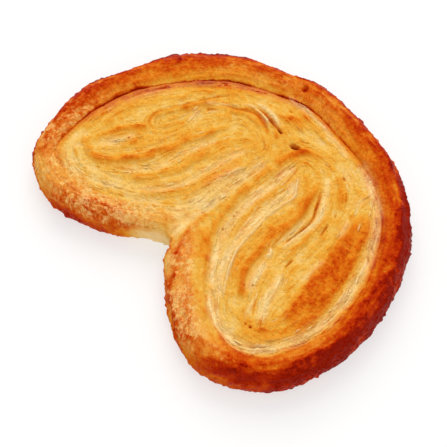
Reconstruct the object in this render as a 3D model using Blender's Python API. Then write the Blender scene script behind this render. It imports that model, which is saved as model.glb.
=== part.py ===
"""A palmier: a puff pastry rolled from both ends and baked flat, so that two coiled lobes meet along a join.

The solid is one piece. Its outer crust is a raised band that runs round both lobes and dips at the join. Inside
the band the coiled layers show as long nested folds. The flat underside rests on the XY plane, the rounded back
is towards +Y, the notch between the lobes towards -Y, and the origin is at the bottom centre of its box.
"""

import bpy
import numpy as np
from mathutils import Vector
from mathutils.geometry import delaunay_2d_cdt

MM = 0.001
LENGTH = 121.5 * MM  # across both lobes
CRUST_HEIGHT = 14.6 * MM  # top of the crust band at the back
FRONT_DROP = 1.6 * MM  # how much lower the band lies round the front of the lobes
ROLL_HEIGHT = 12.0 * MM  # mean top of the coiled layers
CRUST_WIDTH = 8.8 * MM  # from the edge to the crevice behind the band
CREVICE_DEPTH = 1.1 * MM
CREVICE_WIDTH = 1.5 * MM
STEPS_ROUND = 132
SPLINE_STEPS = 24  # to each span of a curve
LAYER_PITCH = 1.65 * MM  # spacing of the points that carry the folds
LEAST_GAP = 0.7 * LAYER_PITCH  # between a fold's points and any others
RELAX_ROUNDS = 3
FLANK = 1.25  # how far down each side of a fold its mesh has a row of points, in half widths
SHARP_ANGLE = 50  # in degrees; flatter edges are shaded smooth
CRUST_BASE = (0.62, 0.22, 0.045, 1.0)

# The edge seen from above, in millimetres, from the middle of the back clockwise round both lobes.
EDGE_MM = (
    (0.3, 46.5), (17, 44.8), (30, 40.5), (43.3, 31.8), (52.4, 20), (58.5, 4), (60.1, -12), (57.2, -28),
    (49.6, -38.2), (35.6, -45.9), (21, -43.8), (9.1, -37), (2.2, -30.8), (-0.9, -25.6), (-8, -28.4),
    (-17.8, -36), (-30, -41.5), (-41.6, -41.9), (-51.8, -36.6), (-57.8, -25), (-60.2, -10), (-56.4, 2.3),
    (-50.4, 18.3), (-39, 31), (-23, 40.1), (-10.2, 45.5),
)

# The side wall from the underside up to the shoulder of the band: how far in from the edge, and how high.
WALL_MM = ((2.6, 0.0), (1.0, 0.9), (0.15, 3.0), (0.0, 5.6), (0.5, 8.6))
# The rest of the band, as shares of CRUST_WIDTH: its top faces carry on from the wall.
BAND_SHARES = (0.2, 0.4, 0.62, 0.84, 1.0)

# Folds of the coiled layers: (height in mm, half width in mm, the points its crest or groove runs through).
FOLDS_MM = {
    "join": (-1.8, 2.0, ((-1.2, -27), (-1.3, -12), (-0.7, 4), (-0.8, 14))),
    "join_lip": (1.1, 1.9, ((14, -25.5), (9, -19.4), (5.1, -12.3), (2.9, -0.5), (2.9, 16), (4.8, 23), (11, 25))),
    "left_outer": (0.8, 1.8, ((-44.5, -16), (-43, -5), (-40, 1), (-36.5, 8), (-31, 16.5), (-25, 22.5))),
    "left_spiral": (1.0, 1.8, ((-34, -3.4), (-34.7, 0.6), (-32, 6.3), (-27.6, 14.4), (-15, 20), (-7, 18.5))),
    "left_tip": (1.0, 1.8, ((-42.3, -20.6), (-39.5, -15), (-36.8, -9.7), (-32.6, -6.2))),
    "left_long": (1.3, 2.0, ((-45, -23), (-37.6, -25.4), (-31.5, -21.5), (-25.3, -12), (-21.9, 1), (-17, 13))),
    "left_middle": (1.0, 2.0, ((-24, -22.3), (-18.4, -14.2), (-15.5, -4.6), (-12.8, 7.2))),
    "left_inner": (0.9, 2.0, ((-19.5, -24.9), (-12.2, -16.9), (-6, -2.3), (-4.5, 7.2))),
    "back": (0.9, 2.0, ((-18.4, 24.2), (-11, 25.8), (-5, 28.4), (2, 29))),
    "right_band": (1.2, 4.2, ((31.3, 23.4), (38.1, 9.5), (42.2, -4), (44.2, -12.5), (43.6, -23))),
    "right_strip": (-1.2, 1.8, ((20, 33), (31.7, 27.7), (42, 16.7), (48.6, 1), (50, -12.5), (46, -27), (38, -34))),
    "right_outer": (-1.3, 1.6, ((18.4, 18.5), (22, 12.3), (24, 4), (24, -4))),
    "right_coil": (1.3, 1.9, ((12, 21.7), (17.3, 17.2), (20.6, 8), (20.7, -3.5), (22, -13.1), (29.7, -24.6))),
    "right_inner": (-1.3, 1.7, ((7, 18.5), (6.6, 3), (8, -9.8), (13.3, -20.3), (20.3, -28))),
    "right_core": (0.9, 1.6, ((10.2, 17), (14.5, 9.5), (13.9, -2), (16.3, -14.5), (24, -27))),
    "right_end": (0.9, 1.6, ((29.6, -9.3), (33.6, -17.5), (38.3, -25.8))),
}
# Small holes where the layers part: (x, y, radius, depth) in millimetres.
PITS_MM = ((1.8, 22.8, 1.8, 4.5), (-5.6, 23.3, 1.4, 2.6), (-10.7, 38.8, 1.4, 2.0))


def clear_scene():
    """Removes what the startup scene holds."""
    for held in list(bpy.data.objects):
        bpy.data.objects.remove(held, do_unlink=True)


def spline(points, closed):
    """A smooth Catmull-Rom curve through the points."""
    points = np.asarray(points, float)
    if closed:
        padded = np.vstack([points[-1:], points, points[:2]])
    else:
        padded = np.vstack([2 * points[0] - points[1], points, 2 * points[-1] - points[-2]])
    t = np.linspace(0, 1, SPLINE_STEPS, endpoint=False)[:, None]
    spans = []
    for a, b, c, d in zip(padded, padded[1:], padded[2:], padded[3:]):
        spans.append(
            0.5 * (2 * b + (c - a) * t + (2 * a - 5 * b + 4 * c - d) * t**2 + (3 * b - a - 3 * c + d) * t**3)
        )
    curve = np.vstack(spans)
    return curve if closed else np.vstack([curve, points[-1:]])


def evenly_spaced(curve, count):
    """The curve as count points, each as far along it from the last, without its end point."""
    along = np.concatenate([[0], np.cumsum(np.linalg.norm(np.diff(curve, axis=0), axis=1))])
    wanted = np.linspace(0, along[-1], count, endpoint=False)
    return np.stack([np.interp(wanted, along, curve[:, k]) for k in range(2)], axis=1)


def closed_up(ring):
    """The ring with its first point again at its end."""
    return np.vstack([ring, ring[:1]])


def distance_to(points, curve):
    """How far each point lies from a curve given as short straight steps."""
    start = curve[:-1]
    step = curve[1:] - start
    length = (step**2).sum(axis=1)
    offset = points[:, None, :] - start
    share = np.clip((offset * step).sum(axis=2) / length, 0, 1)
    return np.linalg.norm(offset - share[:, :, None] * step, axis=2).min(axis=1)


def inward_directions(edge):
    """Unit vectors from each point of the edge into the pastry; the edge runs clockwise."""
    tangent = np.roll(edge, -1, axis=0) - np.roll(edge, 1, axis=0)
    inward = np.stack([tangent[:, 1], -tangent[:, 0]], axis=1)
    return inward / np.linalg.norm(inward, axis=1)[:, None]


def inside(points, ring):
    """Whether each point lies within the ring, by counting the sides to its right."""
    x, y = points[:, :1], points[:, 1:]
    x0, y0 = ring[:, 0], ring[:, 1]
    x1, y1 = np.roll(x0, -1), np.roll(y0, -1)
    crosses = (y0 > y) != (y1 > y)
    reach = x0 + (y - y0) * (x1 - x0) / np.where(y1 == y0, 1, y1 - y0)
    return (crosses & (x < reach)).sum(axis=1) % 2 == 1


def band_height(points):
    """Height of the crust band's top, which is lower round the front of the lobes than at the back."""
    towards_front = np.clip((20 * MM - points[:, 1]) / (60 * MM), 0, 1)
    return CRUST_HEIGHT - FRONT_DROP * towards_front


def fold_relief(points):
    """The folds' crests and grooves and the small holes, added up."""
    relief = np.zeros(len(points))
    for rise, half_width, crest in FOLDS_MM.values():
        away = distance_to(points, spline(crest, closed=False) * MM)
        relief += rise * MM * np.exp(-((away / (half_width * MM)) ** 2))
    for x, y, radius, depth in PITS_MM:
        away = np.hypot(points[:, 0] - x * MM, points[:, 1] - y * MM)
        relief -= depth * MM * np.exp(-((away / (radius * MM)) ** 2))
    return relief


def top_height(points, depth):
    """Height of the top at points that lie depth in from the edge: the rounded band, its crevice, the folds."""
    crown = band_height(points)
    across = np.clip(depth / CRUST_WIDTH, 0, 1)
    shoulder = WALL_MM[-1][1] * MM
    outer_slope = shoulder + (crown - shoulder) * np.sin(np.pi / 2 * np.clip(across / 0.5, 0, 1))
    inner_slope = np.clip((across - 0.5) / 0.5, 0, 1) ** 2 * (crown - ROLL_HEIGHT)
    crevice = CREVICE_DEPTH * np.exp(-(((depth - CRUST_WIDTH) / CREVICE_WIDTH) ** 2))
    return outer_slope - inner_slope - crevice + across * fold_relief(points)


def fold_points(ring, sides):
    """Rows of points inside the ring along each fold, at each of the sides, in half widths from its crest."""
    kept = closed_up(ring)
    for side in sides:
        for _, half_width, crest in FOLDS_MM.values():
            curve = spline(crest, closed=False) * MM
            along = np.gradient(curve, axis=0)
            across = np.stack([-along[:, 1], along[:, 0]], axis=1) / np.linalg.norm(along, axis=1)[:, None]
            length = np.linalg.norm(np.diff(curve, axis=0), axis=1).sum()
            row = evenly_spaced(curve + across * side * half_width * MM, int(length / LAYER_PITCH))
            row = row[inside(row, ring)]
            gap = np.linalg.norm(row[:, None] - kept, axis=2).min(axis=1)
            kept = np.vstack([kept, row[gap > LEAST_GAP]])
    return kept[len(ring) + 1 :]


def lattice(ring, folds):
    """Points on a triangular grid inside the ring, away from it and from the folds' own points."""
    low, high = ring.min(axis=0), ring.max(axis=0)
    row_gap = LAYER_PITCH * np.sqrt(3) / 2
    rows = []
    for index, y in enumerate(np.arange(low[1], high[1], row_gap)):
        x = np.arange(low[0] + (index % 2) * LAYER_PITCH / 2, high[0], LAYER_PITCH)
        rows.append(np.stack([x, np.full(len(x), y)], axis=1))
    points = np.vstack(rows)
    points = points[inside(points, ring)]
    points = points[distance_to(points, closed_up(ring)) > LAYER_PITCH / 2]
    gap = np.linalg.norm(points[:, None] - folds, axis=2).min(axis=1)
    return points[gap > LEAST_GAP]


def rings_of(edge):
    """The rings of the wall and the band, from the underside inwards over the crown, each as (x, y, z) rows."""
    inward = inward_directions(edge)
    rings = []
    for inset, height in WALL_MM:
        level = np.full(len(edge), height * MM)
        rings.append(np.column_stack([edge + inward * inset * MM, level]))
    start = WALL_MM[-1][0] * MM
    for share in BAND_SHARES:
        depth = start + share * (CRUST_WIDTH - start)
        flat = edge + inward * depth
        rings.append(np.column_stack([flat, top_height(flat, np.full(len(flat), depth))]))
    return rings


def triangulated(flat, rim_count):
    """Triangles between the points, inside the ring that the first rim_count of them make."""
    rim = list(range(rim_count))
    _, _, faces, origin, _, _ = delaunay_2d_cdt([Vector(p) for p in flat], [], [rim], 1, 1e-7)
    order = [ids[0] for ids in origin]
    return np.array([[order[i] for i in face] for face in faces])


def relaxed(flat, rim_count, held_count):
    """The points after each one past the first held_count has moved to the middle of its neighbours a few times."""
    for _ in range(RELAX_ROUNDS):
        triangles = triangulated(flat, rim_count)
        total = np.zeros_like(flat)
        count = np.zeros(len(flat))
        for a, b in ((0, 1), (1, 2), (2, 0), (1, 0), (2, 1), (0, 2)):
            np.add.at(total, triangles[:, a], flat[triangles[:, b]])
            np.add.at(count, triangles[:, a], 1)
        flat = np.vstack([flat[:held_count], total[held_count:] / count[held_count:, None]])
    return flat


def filled(ring, edge):
    """The folded top inside the last ring: points and triangles, where the first points are the ring's own."""
    crests = fold_points(ring[:, :2], (0,))
    folds = fold_points(ring[:, :2], (0, -FLANK, FLANK))
    flat = np.vstack([ring[:, :2], folds, lattice(ring[:, :2], folds)])
    flat = relaxed(flat, len(ring), len(ring) + len(crests))
    triangles = triangulated(flat, len(ring))
    inner = flat[len(ring) :]
    depth = distance_to(inner, closed_up(edge))
    return np.column_stack([inner, top_height(inner, depth)]), triangles


def pastry_mesh():
    """Lofts the wall and the band ring by ring, fills the coiled layers inside and closes the flat underside."""
    edge = evenly_spaced(closed_up(spline(EDGE_MM, closed=True)) * MM, STEPS_ROUND)
    rings = rings_of(edge)
    inner, triangles = filled(rings[-1], edge)
    last = (len(rings) - 1) * STEPS_ROUND
    faces = [list(range(STEPS_ROUND))]
    for level in range(len(rings) - 1):
        for i in range(STEPS_ROUND):
            j = (i + 1) % STEPS_ROUND
            low, high = level * STEPS_ROUND, (level + 1) * STEPS_ROUND
            faces.append([low + j, low + i, high + i, high + j])
    faces += [[last + i for i in triangle] for triangle in triangles]
    points = np.vstack(rings + [inner])
    low, high = points.min(axis=0), points.max(axis=0)
    points[:, :2] -= (low[:2] + high[:2]) / 2
    points[:, :2] *= LENGTH / (high[0] - low[0])
    mesh = bpy.data.meshes.new("palmier")
    mesh.from_pydata(points.tolist(), [], faces)
    return mesh


def baked_crust():
    """The plain browned material of the whole pastry."""
    material = bpy.data.materials.new("baked_crust")
    material.use_nodes = True
    shader = material.node_tree.nodes["Principled BSDF"]
    shader.inputs["Base Color"].default_value = CRUST_BASE
    shader.inputs["Roughness"].default_value = 0.5
    shader.inputs["Metallic"].default_value = 0.0
    return material


def build_palmier():
    """Makes the palmier in a collection of its own."""
    collection = bpy.data.collections.new("palmier")
    bpy.context.scene.collection.children.link(collection)
    mesh = pastry_mesh()
    mesh.materials.append(baked_crust())
    mesh.shade_smooth()
    mesh.set_sharp_from_angle(angle=np.radians(SHARP_ANGLE))
    collection.objects.link(bpy.data.objects.new("palmier", mesh))


clear_scene()
build_palmier()
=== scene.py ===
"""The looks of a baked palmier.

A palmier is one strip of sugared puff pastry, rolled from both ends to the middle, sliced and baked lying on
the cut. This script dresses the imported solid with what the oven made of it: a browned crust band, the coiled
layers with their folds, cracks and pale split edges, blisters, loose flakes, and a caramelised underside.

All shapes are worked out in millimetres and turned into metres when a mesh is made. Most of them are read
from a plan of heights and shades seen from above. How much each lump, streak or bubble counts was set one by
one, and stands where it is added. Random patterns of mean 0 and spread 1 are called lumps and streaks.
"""

import logging
import math
from collections.abc import Sequence
from dataclasses import astuple, dataclass, field
from enum import Enum

import bpy
import numpy as np
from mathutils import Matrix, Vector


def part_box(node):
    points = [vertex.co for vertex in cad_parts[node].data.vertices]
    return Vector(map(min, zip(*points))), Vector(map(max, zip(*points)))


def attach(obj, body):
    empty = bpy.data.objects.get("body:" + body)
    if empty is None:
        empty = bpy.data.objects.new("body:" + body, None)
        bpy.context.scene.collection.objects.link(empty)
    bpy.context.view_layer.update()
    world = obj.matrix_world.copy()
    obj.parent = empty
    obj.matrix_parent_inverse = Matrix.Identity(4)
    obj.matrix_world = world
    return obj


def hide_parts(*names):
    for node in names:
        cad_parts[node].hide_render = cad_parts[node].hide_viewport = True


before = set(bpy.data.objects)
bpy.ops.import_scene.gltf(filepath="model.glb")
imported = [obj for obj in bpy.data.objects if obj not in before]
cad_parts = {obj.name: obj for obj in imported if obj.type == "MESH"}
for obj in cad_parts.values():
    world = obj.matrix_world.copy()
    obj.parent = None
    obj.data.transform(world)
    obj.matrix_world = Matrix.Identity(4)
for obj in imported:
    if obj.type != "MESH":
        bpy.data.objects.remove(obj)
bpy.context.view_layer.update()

log = logging.getLogger("palmier")

Array = np.ndarray
MM = 0.001
NODE = "palmier"

ROLL_HEIGHT = 12.0  # mean top of the coiled layers
LAP = 1.6  # how far the band and the coils reach past the line where they meet
SKIN = 0.5  # how far the lumps of the skin stand out from the plain outline
FOLD_GAP = 0.5  # between the points of a fold's curve
NEAREST_AT_ONCE = 3_000_000  # pairs of points and spans that are measured in one go, to spare memory


# -------------------- Plain geometry --------------------


def ease(low: float, high: float, value: Array) -> Array:
    """Goes smoothly from 0 at low to 1 at high."""
    share = np.clip((value - low) / (high - low), 0.0, 1.0)
    return share * share * (3.0 - 2.0 * share)


def cloud(shape: tuple[int, int], sizes: tuple[float, float], seed: int) -> Array:
    """Makes smooth random lumps that repeat without a seam.

    Args:
        shape: Rows and columns of the result.
        sizes: Half a lump's height and width, in rows and columns.
        seed: Picks the pattern.

    Returns:
        Values of mean 0 and spread 1.
    """
    white = np.fft.rfft2(np.random.default_rng(seed).standard_normal(shape))
    down = np.fft.fftfreq(shape[0])[:, None] * sizes[0]
    across = np.fft.rfftfreq(shape[1])[None, :] * sizes[1]
    lumps = np.fft.irfft2(white * np.exp(-9.0 * (down**2 + across**2)), s=shape)
    lumps -= lumps.mean()
    return lumps / lumps.std()


def scramble(i: Array, j: Array, k: Array, seed: int) -> Array:
    """A whole number that looks random for each cell of a grid."""
    mixed = (i * 73856093) ^ (j * 19349663) ^ (k * 83492791) ^ (seed * 2654435761)
    mixed = (mixed & 0xFFFFFFFF) * 0x45D9F3B & 0xFFFFFFFF
    mixed = (mixed ^ (mixed >> 16)) * 0x45D9F3B & 0xFFFFFFFF
    return mixed ^ (mixed >> 15)


def bubbles(at: Array, size: float, seed: int) -> tuple[Array, Array, Array]:
    """Fills space with packed bubbles.

    Args:
        at: The places, as x, y and z.
        size: About how wide a bubble is.
        seed: Picks the pattern.

    Returns:
        How near each place is to a bubble's middle, 1 there and 0 at its rim; how near to the gap between two,
        1 in the gap; and a number from 0 to 1 for the bubble itself.
    """
    at = at / size
    home = np.floor(at).astype(np.int64)
    nearest, second = np.full((2, *at[0].shape), 9.0)
    own = np.zeros(at[0].shape)
    for number in range(27):
        i, j, k = (home[axis] + number // 3**axis % 3 - 1 for axis in range(3))
        code = scramble(i, j, k, seed)
        spots = (i + (code & 1023) / 1023, j + (code >> 10 & 1023) / 1023, k + (code >> 20 & 1023) / 1023)
        square = sum((spot - values) ** 2 for spot, values in zip(spots, at))
        nearer = square < nearest
        second = np.where(nearer, nearest, np.minimum(second, square))
        own = np.where(nearer, (code % 977) / 976, own)
        nearest = np.minimum(nearest, square)
    reach = np.sqrt(nearest)
    return np.clip(1 - reach / 0.72, 0, 1), np.clip(1 - (np.sqrt(second) - reach) / 0.22, 0, 1), own


def haze(at: Array, size: float, seed: int) -> Array:
    """Smooth random values through space, from -1 to 1.

    Args:
        at: The places, as x, y and z.
        size: About how wide a lump is.
        seed: Picks the pattern.

    Returns:
        The value at each place.
    """
    at = at / size
    home = np.floor(at).astype(np.int64)
    share = ease(0.0, 1.0, at - home)
    total = np.zeros(at[0].shape)
    for number in range(8):
        step = (number & 1, number >> 1 & 1, number >> 2 & 1)
        code = scramble(*(whole + far for whole, far in zip(home, step)), seed)
        weight = 1.0
        for far, part in zip(step, share):
            weight = weight * (part if far else 1 - part)
        total += weight * ((code & 4095) / 2047.5 - 1)
    return total


@dataclass(frozen=True)
class Crust:
    """The bubbled, sugared skin that the oven raised.

    Attributes:
        large: Width of a large bubble.
        small: Width of a small one.
        fine: Width of the finest.
    """

    large: float = 1.5
    small: float = 0.8
    fine: float = 0.45

    def grow(self, at: Array, froth: Array, brown: Array) -> tuple[Array, Array, Array]:
        """Grows the skin at some places.

        Args:
            at: The places, as x, y and z.
            froth: How pale and frothy the skin is there, 0 to 1.
            brown: How browned and bubbly it is there, 0 to 1.

        Returns:
            How far it stands out; how much browner it is, which holds painted shade in the gaps between
            bubbles and painted highlights on the small ones; and how pale.
        """
        slow, drift, turn = haze(at, 4.0, 71), haze(at, 1.1, 72), haze(at, 1.1, 73)
        at = at + 0.35 * np.stack([drift, turn, -drift])
        dome, rim, own = bubbles(at, self.large, 51)
        bead, bead_rim, bead_own = bubbles(at, self.small, 52)
        grit, _, grit_own = bubbles(at, self.fine, 53)
        gaps = np.clip(0.65 * rim + 0.45 * bead_rim, 0, 1)
        swell = dome * (0.3 + 0.7 * own) + 0.5 * bead * bead_own + 0.25 * grit * grit_own
        pallor = ease(-0.55, 0.75, 0.9 * slow + 0.4 * drift + 0.6 * (own - 0.5) + 0.9 * (bead_own - 0.5))
        fleck = froth * np.clip(0.15 + 0.6 * pallor * (1 - 0.8 * gaps) + 0.7 * (grit_own - 0.5) * pallor, 0, 1)
        out = froth * (0.26 * swell - 0.16 * gaps)
        out += brown * (0.13 * bead * bead_own + 0.06 * grit + 0.05 * dome)
        # Darker in the gaps between bubbles: painted shade.
        tone = froth * (0.06 + 0.10 * gaps + 0.16 * (1 - pallor)) - 0.22 * fleck
        tone += brown * (0.04 * (own - 0.5) + 0.05 * (bead_own - 0.5) + 0.05 * (grit_own - 0.5) + 0.04 * slow)
        # Darker on the rims of the large bubbles, painted shade, and lighter on the domes of the small ones, a
        # painted highlight.
        tone += brown * (0.04 * rim - 0.04 * bead)
        return out, tone, 0.58 * fleck


def catmull(points: Array, closed: bool, steps: int = 16) -> Array:
    """Runs a Catmull-Rom curve through rows of numbers.

    Args:
        points: One row for each point, with as many columns as wanted.
        closed: Whether the last point joins the first.
        steps: Samples to each span.

    Returns:
        The samples, one row each; an open curve keeps its end point.
    """
    if closed:
        padded = np.vstack([points[-1:], points, points[:2]])
    else:
        padded = np.vstack([2 * points[0] - points[1], points, 2 * points[-1] - points[-2]])
    t = np.linspace(0, 1, steps, endpoint=False)[:, None]
    spans = [
        0.5 * (2 * b + (c - a) * t + (2 * a - 5 * b + 4 * c - d) * t**2 + (3 * b - a - 3 * c + d) * t**3)
        for a, b, c, d in zip(padded, padded[1:], padded[2:], padded[3:])
    ]
    curve = np.vstack(spans)
    return curve if closed else np.vstack([curve, points[-1:]])


def arc_lengths(curve: Array) -> Array:
    """How far along the curve each of its points lies."""
    return np.concatenate([[0.0], np.cumsum(np.linalg.norm(np.diff(curve[:, :2], axis=0), axis=1))])


def respaced(curve: Array, gap: float) -> Array:
    """The curve again with its points about gap apart, each end kept."""
    along = arc_lengths(curve)
    wanted = np.linspace(0, along[-1], max(2, int(round(along[-1] / gap)) + 1))
    return np.stack([np.interp(wanted, along, curve[:, k]) for k in range(curve.shape[1])], axis=1)


def nearest_on(curve: Array, x: Array, y: Array) -> tuple[Array, Array, Array]:
    """Finds the nearest place on a curve for many points at once.

    Args:
        curve: Points of the curve, one row each.
        x: The points' x.
        y: The points' y.

    Returns:
        The distance, the index along the curve with its fraction, and the side: 1 to the left of its run, and
        -1 to the right.
    """
    start, step = curve[:-1, :2], np.diff(curve[:, :2], axis=0)
    length = (step**2).sum(axis=1)
    distance, place, side = np.empty((3, x.size))
    flat = np.stack([x.ravel(), y.ravel()], axis=1)
    chunk = max(1, NEAREST_AT_ONCE // len(step))
    for first in range(0, len(flat), chunk):
        offset = flat[first : first + chunk, None, :] - start
        share = np.clip((offset * step).sum(axis=2) / length, 0.0, 1.0)
        away = offset - share[:, :, None] * step
        square = (away**2).sum(axis=2)
        best = square.argmin(axis=1)
        rows = np.arange(len(best))
        part = slice(first, first + chunk)
        distance[part] = np.sqrt(square[rows, best])
        place[part] = best + share[rows, best]
        turn = step[best, 0] * offset[rows, best, 1] - step[best, 1] * offset[rows, best, 0]
        side[part] = np.where(turn >= 0, 1.0, -1.0)
    return distance.reshape(x.shape), place.reshape(x.shape), side.reshape(x.shape)


# -------------------- What the oven did, written down by place --------------------


@dataclass(frozen=True)
class Station:
    """One place round the crust band.

    Attributes:
        edge: The outer edge.
        inner: Where the band ends and the coiled layers start.
        wall_bake: How brown the side wall is, 0 to 1.
        outer_bake: How brown the outer side of the top is.
        middle_bake: How brown the middle of the top is.
        inner_bake: How brown the inner side of the top is.
        crown: Height of the band's top.
        crevice: How deep the crack behind the band is, 0 to 1.
        blister: How blistered and mottled it is, 0 to 1.
    """

    edge: tuple[float, float]
    inner: tuple[float, float]
    wall_bake: float
    outer_bake: float
    middle_bake: float
    inner_bake: float
    crown: float
    crevice: float
    blister: float

    def row(self) -> list[float]:
        """All of its numbers in one row."""
        return [*self.edge, *self.inner, *astuple(self)[2:]]


class Column(Enum):
    """Where each of a station's numbers stands in its row."""

    WALL_BAKE = 4
    OUTER_BAKE = 5
    MIDDLE_BAKE = 6
    INNER_BAKE = 7
    CROWN = 8
    CREVICE = 9
    BLISTER = 10


STATIONS = (
    Station((0.3, 46.1), (0, 36.2), 0.90, 0.71, 0.66, 0.50, 14.3, 0.5, 0.20),
    Station((17.4, 45.1), (16, 34.9), 0.90, 0.77, 0.78, 0.56, 14.3, 0.2, 0.10),
    Station((24.6, 43.7), (21.5, 33.9), 0.92, 0.81, 0.82, 0.60, 14.3, 0.1, 0.10),
    Station((30.5, 40.4), (26.8, 32.4), 0.93, 0.88, 0.87, 0.68, 14.3, 0.2, 0.10),
    Station((43.2, 31.5), (37.3, 25.2), 0.95, 0.90, 0.84, 0.59, 14.2, 0.2, 0.10),
    Station((52.4, 19.8), (45, 16), 0.96, 0.94, 0.95, 0.70, 14.1, 0.1, 0.15),
    Station((58.5, 3.9), (51, 3), 0.96, 0.97, 0.90, 0.68, 14.0, 0.1, 0.15),
    Station((59.9, -12), (53.2, -12.5), 0.93, 0.90, 0.78, 0.56, 13.9, 0.1, 0.20),
    Station((56.9, -27.9), (50.3, -25.4), 0.90, 0.88, 0.72, 0.56, 13.7, 0.1, 0.20),
    Station((49.4, -38), (44.6, -34), 0.82, 0.84, 0.84, 0.72, 13.6, 0.1, 0.25),
    Station((35.5, -45.5), (35, -36.8), 0.66, 0.62, 0.52, 0.56, 13.4, 0.1, 0.45),
    Station((21.5, -43.4), (24.6, -33.9), 0.62, 0.47, 0.32, 0.27, 13.2, 0.0, 0.90),
    Station((9.9, -36.5), (15.4, -26.8), 0.62, 0.28, 0.38, 0.16, 12.9, 0.0, 1.00),
    Station((2.2, -30.8), (8.2, -18.2), 0.64, 0.30, 0.28, 0.20, 12.5, 0.0, 0.80),
    Station((-0.9, -25.4), (1.2, -12.6), 0.0, 0.22, 0.33, 0.32, 12.0, 0.0, 0.25),
    Station((-8, -27.8), (-9.2, -20.6), 0.0, 0.22, 0.29, 0.12, 11.8, 0.0, 0.55),
    Station((-17.8, -35.3), (-18, -27.4), 0.55, 0.5, 0.5, 0.26, 12.2, 0.0, 0.95),
    Station((-30, -40.9), (-28.5, -32.8), 0.84, 0.56, 0.44, 0.3, 12.6, 0.0, 0.95),
    Station((-41.5, -41.7), (-40, -34.8), 0.57, 0.20, 0.34, 0.16, 12.9, 0.0, 0.85),
    Station((-51.8, -36.4), (-47.3, -32.2), 0.64, 0.32, 0.5, 0.36, 13.2, 0.1, 0.70),
    Station((-57.4, -24.9), (-49.8, -22), 0.74, 0.66, 0.62, 0.46, 13.6, 0.35, 0.70),
    Station((-59.6, -10), (-49.1, -8.5), 0.88, 0.70, 0.64, 0.52, 13.9, 0.8, 0.35),
    Station((-55.8, 2.2), (-46.6, 0.9), 0.92, 0.78, 0.72, 0.52, 14.1, 0.8, 0.14),
    Station((-49.9, 17.9), (-40, 12), 0.93, 0.82, 0.78, 0.56, 14.2, 1.0, 0.12),
    Station((-38.8, 30.5), (-31, 22.6), 0.92, 0.84, 0.72, 0.47, 14.3, 1.0, 0.20),
    Station((-31.3, 36.4), (-24.3, 27.5), 0.92, 0.76, 0.67, 0.40, 14.3, 1.0, 0.20),
    Station((-22.9, 39.8), (-17.5, 31.2), 0.91, 0.70, 0.64, 0.50, 14.3, 1.0, 0.20),
    Station((-10.2, 45.3), (-8, 35.1), 0.90, 0.72, 0.64, 0.58, 14.3, 1.0, 0.20),
)


@dataclass(frozen=True)
class Fold:
    """One line of the coiled layers and what it does to the surface beside it.

    Attributes:
        points: The places that it runs through.
        width: How wide it is to each side of its run, or to the left alone where right is given.
        right: How wide it is to the right, where that differs.
        rise: How far it lifts the surface, or lowers it.
        bake: How much browner it is than its surroundings; on a groove, where rise is below 0, this is partly
            browning and partly painted shade.
        cream: How pale and unbaked it is, 0 to 1.
        layered: How plainly thin layers show in it, 0 to 1.
        fade: Length over which its ends die away.
        flat: Whether it is level across, with steep sides.
    """

    points: tuple[tuple[float, float], ...]
    width: float
    right: float | None = None
    rise: float = 0.0
    bake: float = 0.0
    cream: float = 0.0
    layered: float = 0.0
    fade: float = 3.0
    flat: bool = False

    def curve(self) -> Array:
        """The smooth curve through its points, with a point each half millimetre."""
        return respaced(catmull(np.array(self.points, float), closed=False), FOLD_GAP)

    def widths(self) -> tuple[float, float]:
        """How wide it is to the left and to the right."""
        return self.width, self.right or self.width


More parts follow.
